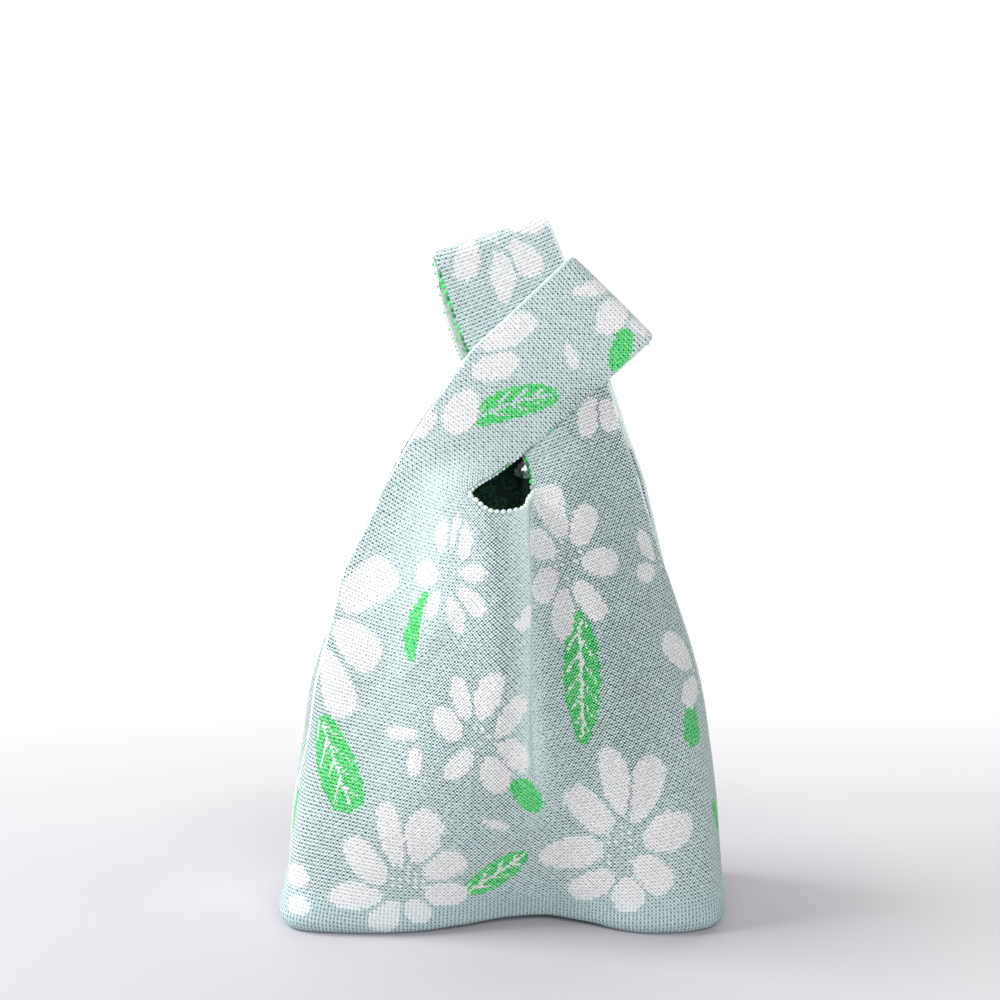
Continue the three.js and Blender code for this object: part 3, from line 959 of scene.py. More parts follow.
FRONT_MOTIF = Motif(
    flowers=(LOW_LEFT, LOW_RIGHT, UPPER_RIGHT, MIDDLE, UPPER_LEFT, LEFT_EDGE, RIGHT_EDGE, RIGHT_HIGH,
             LEFT_STRAP, STRAP_END, RIGHT_TOP, SHOULDER, CORNER),
    loose=(
        Petal(-60.6, 147.9, 18.5, 6.8, -172, 0, 2), Petal(-51.7, 135.4, 15, 8, -86),
        Petal(-9.4, 107.2, 14.5, 4.9, -24), Petal(-4.9, 211.5, 13.9, 7.7, -105),
        Petal(-60.3, 370.5, 13.6, 5.6, -24),
    ),
    leaves=(
        Leaf(-93.2, 125, 50, 21.5, -56, 0.1, 3.4, 0, 11),
        Leaf(-59.8, 203.4, 36.2, 7.4, -95, 0.3, 2.6, -2.6),
        Leaf(52.7, 175, 71, 18.5, -106, -0.1, 1.5, 0, 11), Leaf(7.1, 121.3, 25, 12.5, -52, 0, 3),
        Leaf(-9.1, 78.1, 35, 14, 36, 0, 2.6, 0, 9), Leaf(102.5, 136, 22.3, 13, -110, 0.1, 2.6),
        Leaf(112, 88, 19, 8, -60, 0, 2.4), Leaf(-119, 96, 22, 7, -80, 0, 2.4),
        Leaf(-61.5, 332.6, 47, 15, 62, 0, 2.4, 2, 10.5, False),
        Leaf(-45.7, 391.2, 22, 10.7, -62, 0, 2.8),
    ),
)
BACK_MOTIF = Motif(
    flowers=(
        LOW_RIGHT.at(-58, 92, 24), LOW_LEFT.at(44, 70, -30), UPPER_RIGHT.at(-4, 150, 70),
        MIDDLE.at(62, 150, 40), UPPER_LEFT.at(-62, 178, -50), LOW_LEFT.at(20, 232, 15),
        UPPER_RIGHT.at(-76, 268, -20), MIDDLE.at(96, 222, -35), UPPER_LEFT.at(66, 305, 20),
        LOW_LEFT.at(-84, 372, 60), RIGHT_TOP.at(88, 404, -8), LEFT_EDGE.at(-124, 182, 0),
        MIDDLE.at(118, 92, 80),
    ),
    loose=(
        Petal(-30, 118, 14, 5, 20), Petal(30, 114, 15, 6.5, -60), Petal(-40, 222, 14, 7, 30),
        Petal(86, 262, 13, 5.5, -20),
    ),
    leaves=(
        Leaf(-28, 186, 60, 16, 72, 0, 2.2, 0, 10.5), Leaf(92, 122, 42, 18, 128, 0.05, 3, 0, 9.5),
        Leaf(-92, 128, 26, 12, 40, 0, 3), Leaf(-6, 86, 36, 14, 76, 0, 2.6, 0, 9),
        Leaf(64, 196, 34, 7.5, 78, 0.25, 2.6, 1.5), Leaf(-84, 320, 42, 13.5, 100, 0, 2.6, 1.5, 9.5),
        Leaf(90, 352, 24, 11, 60, 0, 2.8), Leaf(-46, 236, 22, 11, -40, 0, 2.8),
    ),
)


# ---- Materials -------------------------------------------------------------------------------------


def math_node(operation: str, doc: str, swapped: bool = False) -> Callable[..., "Wire"]:
    """A method of Wire that adds one Math node.

    Args:
        operation: the node's operation.
        doc: the method's docstring.
        swapped: whether the wire is the second number, as in a sum with a number on the left.

    Returns:
        The method.
    """

    def method(wire: "Wire", *others: "Number") -> "Wire":
        """Adds the node and returns its output."""
        values = (wire, *others)
        inputs = dict(enumerate(values[::-1] if swapped else values))
        return wire.graph.node("ShaderNodeMath", {"operation": operation}, inputs)

    method.__doc__ = doc
    return method


@dataclass(frozen=True, eq=False)
class Wire:
    """A socket that does sums: an expression on wires adds the Math nodes for it."""

    graph: "Graph"
    socket: bpy.types.NodeSocket

    __add__ = math_node("ADD", "Sum.")
    __radd__ = math_node("ADD", "Sum with a number on the left.", swapped=True)
    __sub__ = math_node("SUBTRACT", "Difference.")
    __rsub__ = math_node("SUBTRACT", "A number less this.", swapped=True)
    __mul__ = math_node("MULTIPLY", "Product.")
    __pow__ = math_node("POWER", "Power.")
    __gt__ = math_node("GREATER_THAN", "1 where this is greater, else 0.")
    floor = math_node("FLOOR", "The whole number below.")
    cosine = math_node("COSINE", "Cosine.")
    most = math_node("MAXIMUM", "The greater of two.")

    def ramp(self, low: float, high: float) -> "Wire":
        """A smooth step from 0 at low to 1 at high."""
        inputs = {"Value": self, "From Min": low, "From Max": high}
        return self.graph.node("ShaderNodeMapRange", {"interpolation_type": "SMOOTHSTEP"}, inputs)


Number = Union[Wire, float]
Colour = tuple[float, float, float, float]


class Graph:
    """The nodes of one material."""

    def __init__(self, name: str) -> None:
        """Makes an empty material."""
        self.material = bpy.data.materials.new(name)
        self.material.use_nodes = True
        self.tree = self.material.node_tree
        self.tree.nodes.clear()

    def node(self, kind: str, settings: dict[str, Any], inputs: dict[Any, Any],
             output: Any = 0) -> Wire:
        """Adds a node.

        Args:
            kind: the node's type.
            settings: its properties, set first.
            inputs: values or wires for its sockets, by name or number.
            output: the output that is returned.

        Returns:
            The output as a wire.
        """
        made = self.tree.nodes.new(kind)
        for key, value in settings.items():
            setattr(made, key, value)
        for key, value in inputs.items():
            if isinstance(value, Wire):
                self.tree.links.new(value.socket, made.inputs[key])
            else:
                made.inputs[key].default_value = value
        return Wire(self, made.outputs[output])

    def kept(self, name: str, output: str = "Fac") -> Wire:
        """A number, or with the output Vector a vector, that is kept on the piece."""
        return self.node("ShaderNodeAttribute", {"attribute_name": name}, {}, output)

    def parts(self, vector: Wire) -> list[Wire]:
        """A vector's three numbers."""
        first = self.node("ShaderNodeSeparateXYZ", {}, {0: vector})
        return [Wire(self, output) for output in first.socket.node.outputs]

    def place(self) -> Wire:
        """The place on the object."""
        return self.node("ShaderNodeTexCoord", {}, {}, "Object")

    def mix(self, share: Number, first: Union[Wire, Colour], second: Union[Wire, Colour],
            blend: str = "MIX") -> Wire:
        """A mix of colours, or their product where blend says MULTIPLY."""
        settings = {"data_type": "RGBA", "blend_type": blend}
        return self.node("ShaderNodeMix", settings, {0: share, 6: first, 7: second}, 2)

    def shade(self, colour: Union[Wire, Colour], amount: Number) -> Wire:
        """A colour times a number."""
        return self.node("ShaderNodeVectorMath", {"operation": "SCALE"}, {0: colour, "Scale": amount})

    def noise(self, scale: float, detail: float) -> Wire:
        """Noise over the object, from 0 to 1."""
        inputs = {"Vector": self.place(), "Scale": scale, "Detail": detail}
        return self.node("ShaderNodeTexNoise", {}, inputs, "Fac")

    def shader(self, inputs: dict[str, Any]) -> Wire:
        """A shader with these inputs."""
        return self.node("ShaderNodeBsdfPrincipled", {}, inputs, "BSDF")

    def yarn(self, colour: Wire, height: Wire, distance: float, strength: float) -> bpy.types.Material:
        """Closes a yarn's material: dull, with a little sheen, a colour and a bump."""
        bump = {"Height": height, "Distance": distance, "Strength": strength}
        inputs = {"Base Color": colour, "Normal": self.node("ShaderNodeBump", {}, bump, "Normal"),
                  "Roughness": 0.92, "Specular IOR Level": 0.2, "Sheen Weight": 0.1,
                  "Sheen Roughness": 0.6}
        return self.close(self.shader(inputs))

    def close(self, shader: Wire) -> bpy.types.Material:
        """Links a shader to the material's output."""
        made = self.tree.nodes.new("ShaderNodeOutputMaterial")
        self.tree.links.new(shader.socket, made.inputs["Surface"])
        return self.material


def blend(share: Wire, first: Wire, second: Wire) -> Wire:
    """A mix of numbers."""
    return first + (second - first) * share


def srgb(red: int, green: int, blue: int) -> Colour:
    """A colour given as on a screen, from 0 to 255, as linear light."""
    channels = [c / 255 for c in (red, green, blue)]
    linear = [c / 12.92 if c <= 0.04045 else ((c + 0.055) / 1.055) ** 2.4 for c in channels]
    return (linear[0], linear[1], linear[2], 1.0)


@dataclass(frozen=True)
class Yarn:
    """A yarn's colour on top of a stitch, where it catches the light, and in the gaps."""

    top: Colour
    light: Colour
    gap: Colour


TEAL = Yarn(srgb(204, 225, 225), srgb(228, 243, 242), srgb(26, 60, 62))
WHITE = Yarn(srgb(234, 237, 237), srgb(248, 249, 248), srgb(170, 173, 173))
GREEN = Yarn(srgb(62, 216, 104), srgb(142, 245, 166), srgb(6, 94, 42))
# Greens of the lining inside the bag, painted darker as painted shade.
LINING_GREEN_PAINTED_SHADE = Yarn(srgb(24, 84, 48), srgb(40, 104, 66), srgb(2, 30, 16))
DARKER_LINING_PAINTED_SHADE = Yarn(srgb(12, 48, 31), srgb(20, 60, 42), srgb(1, 18, 10))
PALE = srgb(236, 243, 241)
STRAND = srgb(150, 182, 180)
SHADED_GREEN = srgb(24, 142, 66)
BASE_TINT = srgb(238, 250, 254)
PLAIN = (1.0, 1.0, 1.0, 1.0)
FULL_TURN = 2 * math.pi


@dataclass(frozen=True)
class KnitFinish:
    """Jacquard knit: small dark gaps of uneven depth between the stitches, and its motifs.

    Attributes:
        bump: height of a stitch in metres.
        strength: share of that height that the shading shows.
        dots: strength of the gaps as dots, and what is added where a stitch has a second gap.
        rows: strength of the gaps as rows, where it hasn't.
        twins: how strongly every other gap stands out.
        contrast: how far the gaps stand out in a tight stitch, and what looser ones add.
        ground: depth between the gaps in a tight stitch, and what looser ones add.
        gap_range: the sums at which a gap starts and at which it is deepest.
        rib: depth between ribs, how far it swings, and how far the ribs show at most.
        hem: how far the pale hem reaches on the inside of an outer edge, in millimetres.
        seam_hem: the same at a side seam.
        fringe: how far the mixed yarns reach on the inside of the neck's edge.
        ragged: how uneven the line of a hem and of the fringe is.
        edge_line: distances between which the outermost stitches of an edge end.
        seam_line: the same for a seam's stitches, and how far these cover the others.
        slant: how the edge's twist leans, in turns for each millimetre from the edge.
        edge_gap: depth between the twists of an edge's stitches.
        seam_gap: depth on and between the twists of a seam's stitches.
        turned_gap: share of the gaps that is closed inside a strap's edge.
        speck: chance from which a stitch of a flower's middle is white, where one may be.
        inner_green: chance from which a stitch of the lining is the lighter green.
        mixed: chances from which a stitch of the fringe is green, and white.
        pale: how far the pale yarn covers an edge, a seam and the inside of a strap's edge.
        tones: brightness without fibres, and what fibres and patches add.
        relief: how far gaps go down in the bump, and how far fibres stand up.
        noises: scale and detail of the noise of fibres, glints, uneven stitches and patches.
    """

    name: str = "jacquard_knit"
    bump: float = 0.0004
    strength: float = 0.9
    dots: Pair = (0.39, 0.3)
    rows: float = 0.33
    twins: float = 0.14
    contrast: Pair = (0.65, 0.7)
    ground: Pair = (0.3, 0.2)
    gap_range: Pair = (-0.2, 1.2)
    rib: Triple = (0.45, 0.3, 0.6)
    hem: float = 11.0
    seam_hem: float = 15.0
    fringe: float = 4.0
    ragged: Pair = (3.0, 2.0)
    edge_line: Pair = (0.9, 1.6)
    seam_line: Triple = (0.5, 1.3, 0.8)
    slant: float = 0.6
    edge_gap: float = 0.3
    seam_gap: Pair = (0.1, 0.35)
    turned_gap: float = 0.7
    speck: float = 0.5
    inner_green: float = 0.6
    mixed: Pair = (0.5, 0.75)
    pale: Triple = (0.25, 0.4, 0.35)
    tones: Triple = (0.86, 0.22, 0.05)
    relief: Pair = (1.1, 0.3)
    noises: Sequence[Pair] = ((2400, 3), (1200, 1), (800, 1), (40, 2))

    def gap(self, g: Graph, wale: Wire, course: Wire, uneven: Wire) -> Wire:
        """How deep the surface lies in the gaps between the stitches, from 0 to 1.

        The gaps are sums and products of cosines over the stitches: one wave a stitch both ways for
        the dots, one up the wales for the rows, and half a wave a stitch for the twins. Round the
        base's edge they give way to ribs, one wave across the wales.

        Args:
            g: the material's nodes.
            wale: number of the stitch across.
            course: number of the stitch along the wales.
            uneven: noise that makes stitches tight and loose.

        Returns:
            The depth.
        """
        side, rung = (wale * FULL_TURN).cosine(), (course * FULL_TURN).cosine()
        twin = (wale * math.pi).cosine() * (course * math.pi).cosine()
        middles, loose = g.kept("middles"), uneven.ramp(0.3, 0.7)
        dots = side * rung * (middles * self.dots[1] + self.dots[0])
        dots = dots + rung * (self.rows - middles * self.rows) + twin * self.twins
        depth = dots * (loose * self.contrast[1] + self.contrast[0])
        depth = depth + loose * self.ground[1] + self.ground[0]
        # The gap depth lowers the bump and sets how much painted shade the gap colours give.
        gap = (depth * g.kept("open")).ramp(*self.gap_range)
        return blend(g.kept("rib") * self.rib[2], gap, side * self.rib[1] + self.rib[0])

    def build(self) -> bpy.types.Material:
        """Makes the material from the stitches map and the motif fields."""
        g = Graph(self.name)
        wale, course, _ = g.parts(g.node("ShaderNodeUVMap", {"uv_map": "stitches"}, {}, "UV"))
        cell_u, cell_v = wale.floor(), course.floor()
        off_u, off_v = wale - cell_u - 0.5, course - cell_v - 0.5
        key = g.node("ShaderNodeCombineXYZ", {}, {"X": cell_u, "Y": cell_v})
        chance = g.node("ShaderNodeTexWhiteNoise", {"noise_dimensions": "2D"}, {"Vector": key}, "Value")
        # glint mixes each yarn's light colour in at random: painted glints.
        fibre, glint, uneven, patch = (g.noise(*noise) for noise in self.noises)
        outer_edge, seam_edge = g.kept("outer_edge"), g.kept("seam")

        def inside(name: str) -> Wire:
            """Whether the stitch's middle lies in a motif, from the field's value and slopes here."""
            here, over, up = g.parts(g.kept(name, "Vector"))
            return here - over * off_u - up * off_v > 0.0

        def odd(cell: Wire) -> Wire:
            """Whether a stitch's number is odd."""
            return cell * 0.5 - (cell * 0.5).floor() > 0.25

        def beyond(edge: Wire, width: float, ragged: float = self.ragged[0]) -> Wire:
            """1 farther from an edge than some width, on an uneven line."""
            return (edge + uneven * ragged).ramp(width, width + 1.0)

        green = inside("green")
        speck = inside("speck") * odd(cell_u) * odd(cell_v) * (chance > self.speck)
        white = inside("white").most(speck)
        inner = g.kept("inside").ramp(0.45, 0.55)
        past_strap_hem = beyond(g.kept("strap_edge"), self.hem)
        deep = beyond(outer_edge, self.hem) * past_strap_hem * beyond(seam_edge, self.seam_hem)
        fringe = 1.0 - beyond(g.kept("neck_edge"), self.fringe, self.ragged[1])

        def yarns(part: str) -> Wire:
            """The colour of the tops, the lights or the gaps of the stitches that show."""
            teal, light_green, pale, dark, darkest = (
                getattr(yarn, part) for yarn in (TEAL, GREEN, WHITE, LINING_GREEN_PAINTED_SHADE, DARKER_LINING_PAINTED_SHADE))
            outer = g.mix(white, g.mix(green, teal, light_green), pale)
            # The lining: green, painted darker as painted shade inside the bag.
            lining = g.mix(deep, teal, g.mix(chance > self.inner_green, darkest, dark))
            mixed = g.mix(chance > self.mixed[0], teal, light_green)
            mixed = g.mix(chance > self.mixed[1], mixed, pale)
            return g.mix(inner, outer, g.mix(fringe, lining, mixed))

        twist = ((course - outer_edge * self.slant) * FULL_TURN).cosine() * 0.5 + 0.5
        edge = 1.0 - outer_edge.ramp(*self.edge_line)
        seam = (1.0 - seam_edge.ramp(*self.seam_line[:2])) * self.seam_line[2]
        # The inside of a strap's edge, where the real hem turns out: painted light, with a paler colour
        # and shallower gaps.
        turned = inner * (1.0 - past_strap_hem)
        gap = blend(edge, self.gap(g, wale, course, uneven), twist * self.edge_gap)
        gap = blend(seam, gap, twist * self.seam_gap[1] + self.seam_gap[0])
        gap = gap * (1.0 - turned * self.turned_gap)
        # Painted shade in the gaps between the stitches, from the yarns' gap colours, over tops with
        # painted glints.
        colour = g.mix(gap, g.mix(glint.ramp(0.38, 0.62), yarns("top"), yarns("light")), yarns("gap"))
        # Painted highlight in the pale colour along the rolled edges and the seams' ridges, and painted
        # light inside the straps' edges.
        pale = (edge * self.pale[0]).most(seam * self.pale[1]).most(turned * self.pale[2])
        cool = g.mix(g.kept("rib") * self.rib[2], PLAIN, BASE_TINT)
        colour = g.mix(1.0, g.mix(pale, colour, PALE), cool, "MULTIPLY")
        colour = g.shade(colour, self.tones[0] + fibre * self.tones[1] + patch * self.tones[2])
        height = 1.0 - gap * self.relief[0] + fibre * self.relief[1]
        return g.yarn(colour, height, self.bump, self.strength)


@dataclass(frozen=True)
class LoopFinish:
    """The yarn of the small loops along an edge: pale, with its twist and fibres.

    Attributes:
        name: the material's name.
        bump: height of the fibres in metres.
        strength: share of that height that the shading shows.
        yarns: tints from which a loop is of another colour.
        tones: brightness without fibres, and what fibres add.
    """

    name: str = "edge_yarn"
    bump: float = 0.0004
    strength: float = 0.6
    yarns: Sequence[tuple[float, Colour]] = ((0.45, STRAND), (0.74, GREEN.top), (0.92, SHADED_GREEN))
    tones: Pair = (0.8, 0.35)

    def build(self) -> bpy.types.Material:
        """Makes the material."""
        g = Graph(self.name)
        fibre, tone = g.noise(2600, 3), g.noise(300, 1)
        colour = g.mix(tone.ramp(0.35, 0.65), TEAL.top, PALE)
        for least, yarn in self.yarns:
            colour = g.mix(g.kept("tint") > least, colour, yarn)
        colour = g.shade(colour, self.tones[0] + fibre * self.tones[1])
        return g.yarn(colour, fibre, self.bump, self.strength)


# ---- Pieces ----------------------------------------------------------------------------------------


def make_object(name: str, points: Array, faces: Array, centre: Pair) -> bpy.types.Object:
    """A mesh object with its place in its mesh.

    Args:
        name: the piece's name.
        points: places in millimetres in the panels' frame.
        faces: point numbers of the four-cornered faces.
        centre: what the panels' frame is moved by.

    Returns:
        The object, linked and shaded smooth.
    """
    mesh = bpy.data.meshes.new(name)
    moved = (points - (*centre, 0)) * MM
    mesh.vertices.add(len(points))
    mesh.vertices.foreach_set("co", moved.astype(np.float32).ravel())
    mesh.loops.add(faces.size)
    mesh.loops.foreach_set("vertex_index", faces.astype(np.int32).ravel())
    mesh.polygons.add(len(faces))
    mesh.polygons.foreach_set("loop_start", np.arange(0, faces.size, 4, np.int32))
    mesh.polygons.foreach_set("loop_total", np.full(len(faces), 4, np.int32))
    mesh.polygons.foreach_set("use_smooth", np.ones(len(faces), bool))
    mesh.update(calc_edges=True)
    mesh.validate()
    made = bpy.data.objects.new(name, mesh)
    bpy.context.scene.collection.objects.link(made)
    return made


def keep(mesh: bpy.types.Mesh, name: str, values: Array) -> None:
    """Keeps a number or a vector for each point on a mesh, for its material to read."""
    kind, slot = ("FLOAT", "value") if values.ndim == 1 else ("FLOAT_VECTOR", "vector")
    kept = mesh.attributes.new(name, kind, "POINT")
    kept.data.foreach_set(slot, values.astype(np.float32).ravel())


@dataclass(frozen=True)
class Openness:
    """Where the gaps between the stitches look deep, and where a stitch has a second gap in its middle.

    On the body both follow the stations. Over the shoulders they turn into what the straps have.

    Attributes:
        usual: depth of the gaps in the base.
        body: heights between which the stations' depths start.
        shoulder: heights between which the straps' start.
        strap: depth on the straps, and what is added at the right strap's root.
        strap_middles: the same for the share of the second gap.
        root: where that root lies, by bounds to the right and up.
        low: what is added low on the front, each with bounds to the right and up.
        ribs: heights between which the ribs round the base's edge end.
    """

    usual: float = 1.05
    body: Pair = (45.0, 105.0)
    shoulder: Pair = (222.0, 245.0)
    strap: Pair = (0.83, 0.6)
    strap_middles: Pair = (0.0, 0.35)
    root: tuple[Pair, Pair] = ((20.0, 50.0), (285.0, 262.0))
    low: Sequence[tuple[float, Pair, Pair]] = (
        (0.3, (0.0, -25.0), (190.0, 120.0)), (-0.15, (60.0, 90.0), (140.0, 90.0)),
    )
    ribs: Pair = (26.0, 10.0)

    @staticmethod
    def share(right: Pair, up: Pair, points: Array) -> Array:
        """How far points lie in an area with soft edges."""
        return smooth(*right, points[:, 0]) * smooth(*up, points[:, 2])

    def over_strap(self, body: Array, strap: Pair, points: Array) -> Array:
        """The body's values, with a strap's over the shoulders."""
        value = strap[0] + strap[1] * self.share(*self.root, points)
        return body + (value - body) * smooth(*self.shoulder, points[:, 2])

    def depth(self, shape: PanelShape) -> Array:
        """How deep the gaps look at each point."""
        across = shape.trait("open", shape.column)
        if shape.side is Side.FRONT:
            across += sum(more * self.share(right, up, shape.points) for more, right, up in self.low)
        body = self.usual + (across - self.usual) * smooth(*self.body, shape.points[:, 2])
        return self.over_strap(body, self.strap, shape.points)

    def middles(self, shape: PanelShape) -> Array:
        """Share of the second gap at each point."""
        return self.over_strap(shape.trait("middles", shape.column), self.strap_middles, shape.points)

    def ribbing(self, shape: PanelShape) -> Array:
        """How far the wales show as ribs at each point: where the base's edge draws the courses up."""
        return smooth(*self.ribs, shape.points[:, 2])


@dataclass
class Cloth:
    """A panel as cloth: its two faces, and a rounded rim along its edges.

    Attributes:
        rim: faces round an edge, from the outside of the cloth to its inside.
        bulge: how far an edge is rounded, against how far it rolls.
        fold_free: distances from a seam or a joined edge between which the folds start.
        ridge: heights between which a side seam's ridge starts and, in the other pair, ends.
        far: the longest distance from an edge that is worked out.
        strap_foot: height over which the edges of the straps are turned in.
        flat: place of each point of the panel in the flat knit.
        middle: the panel's points with their folds.
        out: direction over the edge, at the edge's points.
        own: point of the panel that each point of the mesh belongs to.
        inside: 0 for the mesh's points on the outside, 1 on the inside, between them round the rim.
        places: place of each point of the mesh in the flat knit.
        spread: how wide its stitch is drawn.
    """

    name: str
    shape: PanelShape
    motif: Motif
    folds: Sequence[Fold]
    rim: int = 5
    bulge: float = 1.15
    fold_free: Pair = (2.0, 18.0)
    ridge: tuple[Pair, Pair] = ((6.0, 20.0), (175.0, 140.0))
    far: float = 20.0
    strap_foot: float = 250.0
    look: Openness = Openness()
    flat: Array = field(init=False)
    middle: Array = field(init=False)
    out: Array = field(init=False)
    own: Array = field(init=False)
    inside: Array = field(init=False)
    points: Array = field(init=False)
    quads: Array = field(init=False)
    places: Array = field(init=False)
    stitches: Array = field(init=False)
    spread: Array = field(init=False)

    def outline(self) -> tuple[Array, Array]:
        """The first and the last point of each step round the panel's outline."""
        faces = self.shape.faces
        count = len(self.shape.points)
        tails, heads = faces.ravel(), np.roll(faces, -1, axis=1).ravel()
        alone = ~np.isin(tails * count + heads, heads * count + tails)
        return tails[alone], heads[alone]

    def ridges(self) -> Array:
        """How far each point stands out for the ridge along a side seam."""
        ridge = np.zeros(len(self.middle))
        for line in self.shape.seam_lines:
            shares = [smooth(*span, self.middle[line, 2]) for span in self.ridge]
            ridge[line] = self.shape.weave.seam_ridge * shares[0] * shares[1]
        return ridge

    def build(self) -> "Cloth":
        """Works out the flat places, the outline and the closed surface.

        A point of the mesh stands off the middle surface along its normal by half the thickness times
        the cosine of its angle round the rim, and off the edge by the roll times that angle's sine.
        """
        shape, weave = self.shape, self.shape.weave
        self.flat, stitches, spread = KnitLines(shape).solve()
        count = len(shape.points)
        normals = shape.normals()
        tails, heads = self.outline()
        along = shape.points[heads] - shape.points[tails]
        steps = unit(np.cross(along, normals[tails] + normals[heads]))
        self.out = unit(gathered(np.stack([tails, heads], 1), steps, count))
        edge = np.unique(tails)
        roll = np.where(shape.flush, 0.0, weave.roll)
        away = self.edge_distance([*shape.seam_lines, shape.base_line, edge[shape.flush[edge]]])
        soft = sum(fold.height(*self.flat.T) for fold in self.folds) * smooth(*self.fold_free, away)
        self.middle = shape.points - self.out * roll[:, None] + normals * soft[:, None]

        self.own = np.concatenate([np.arange(count)] * 2 + [edge] * (self.rim - 1))
        share = np.repeat(np.arange(1, self.rim) / self.rim, len(edge))
        self.inside = np.concatenate([np.zeros(count), np.ones(count), share])
        angle = math.pi * self.inside
        lift = weave.thickness / 2 * np.cos(angle) + self.ridges()[self.own] * (1 - self.inside)
        bulge = roll[self.own] * self.bulge * np.sin(angle)
        self.points = self.middle[self.own] + normals[self.own] * lift[:, None]
        self.points += self.out[self.own] * bulge[:, None]
        self.quads = self.closed_faces(tails, heads, edge)
        over = np.zeros((len(self.own), 2))
        over[2 * count:] = self.ahead()[self.own[2 * count:]] * share[:, None] * weave.thickness
        self.places = self.flat[self.own] + over
        self.stitches = stitches[self.own] + over / (weave.wale, weave.course)
        self.spread = spread[self.own]
        return self

    def closed_faces(self, tails: Array, heads: Array, edge: Array) -> Array:
        """Faces of the outside, of the inside and round the rim.

        Args:
            tails: first point of each step round the outline.
            heads: its last point.
            edge: the outline's points, in order of their numbers.

        Returns:
            Point numbers, (F, 4).
        """
        faces = self.shape.faces
        count = len(self.shape.points)
        number = np.full((self.rim + 1, count), -1)
        number[0] = np.arange(count)
        number[1:-1, edge] = 2 * count + np.arange((self.rim - 1) * len(edge)).reshape(-1, len(edge))
        number[-1] = count + np.arange(count)
        quads = [faces, faces[:, ::-1] + count]
        for near, next_row in zip(number[:-1], number[1:]):
            quads.append(np.stack([near[heads], near[tails], next_row[tails], next_row[heads]], 1))
        return np.concatenate(quads)

    def ahead(self) -> Array:
        """The flat direction from the faces round each point to the point: at an edge, over it."""
        faces = self.shape.faces
        count = np.bincount(faces.ravel(), minlength=len(self.flat))
        near = gathered(faces, self.flat[faces].mean(1), len(self.flat))
        return unit(self.flat - near / count[:, None])

    def edge_distance(self, lines: Sequence[Array]) -> Array:
        """How far each point lies from some edges in the flat knit, in millimetres."""
        best = np.full(len(self.flat), self.far, np.float32)
        flat = self.flat.astype(np.float32)
        for line in lines:
            away = flat[:, None] - flat[None, line]
            best = np.minimum(best, np.sqrt((away * away).sum(2).min(1)))
        return best

    def dress(self, finish: bpy.types.Material) -> bpy.types.Object:
        """Makes the object, with the stitches map and all that its material reads."""
        shape, weave = self.shape, self.shape.weave
        made = make_object(self.name, self.points, self.quads, weave.centre)
        mesh = made.data
        layer = mesh.uv_layers.new(name="stitches")
        layer.uv.foreach_set("vector", self.stitches[self.quads.ravel()].astype(np.float32).ravel())
        wale = weave.wale * self.spread
        fields = {"white": self.motif.white, "green": self.motif.green, "speck": self.motif.speck}
        for name, depth in fields.items():
            keep(mesh, name, Motif.with_slopes(depth, self.places, wale, weave.course))
        keep(mesh, "inside", self.inside)
        looks = {"open": self.look.depth, "middles": self.look.middles, "rib": self.look.ribbing}
        for name, values in looks.items():
            keep(mesh, name, values(shape)[self.own])
        free = shape.free_lines
        straps = [line[shape.points[line, 2] > self.strap_foot] for line in free]
        edges = {"seam": shape.seam_lines, "outer_edge": [free[0], free[3], *shape.open_sides],
                 "strap_edge": straps, "neck_edge": [free[1], free[2], shape.neck_line]}
        for name, lines in edges.items():
            keep(mesh, name, self.edge_distance(lines)[self.own])
        mesh.materials.append(finish)
        return made


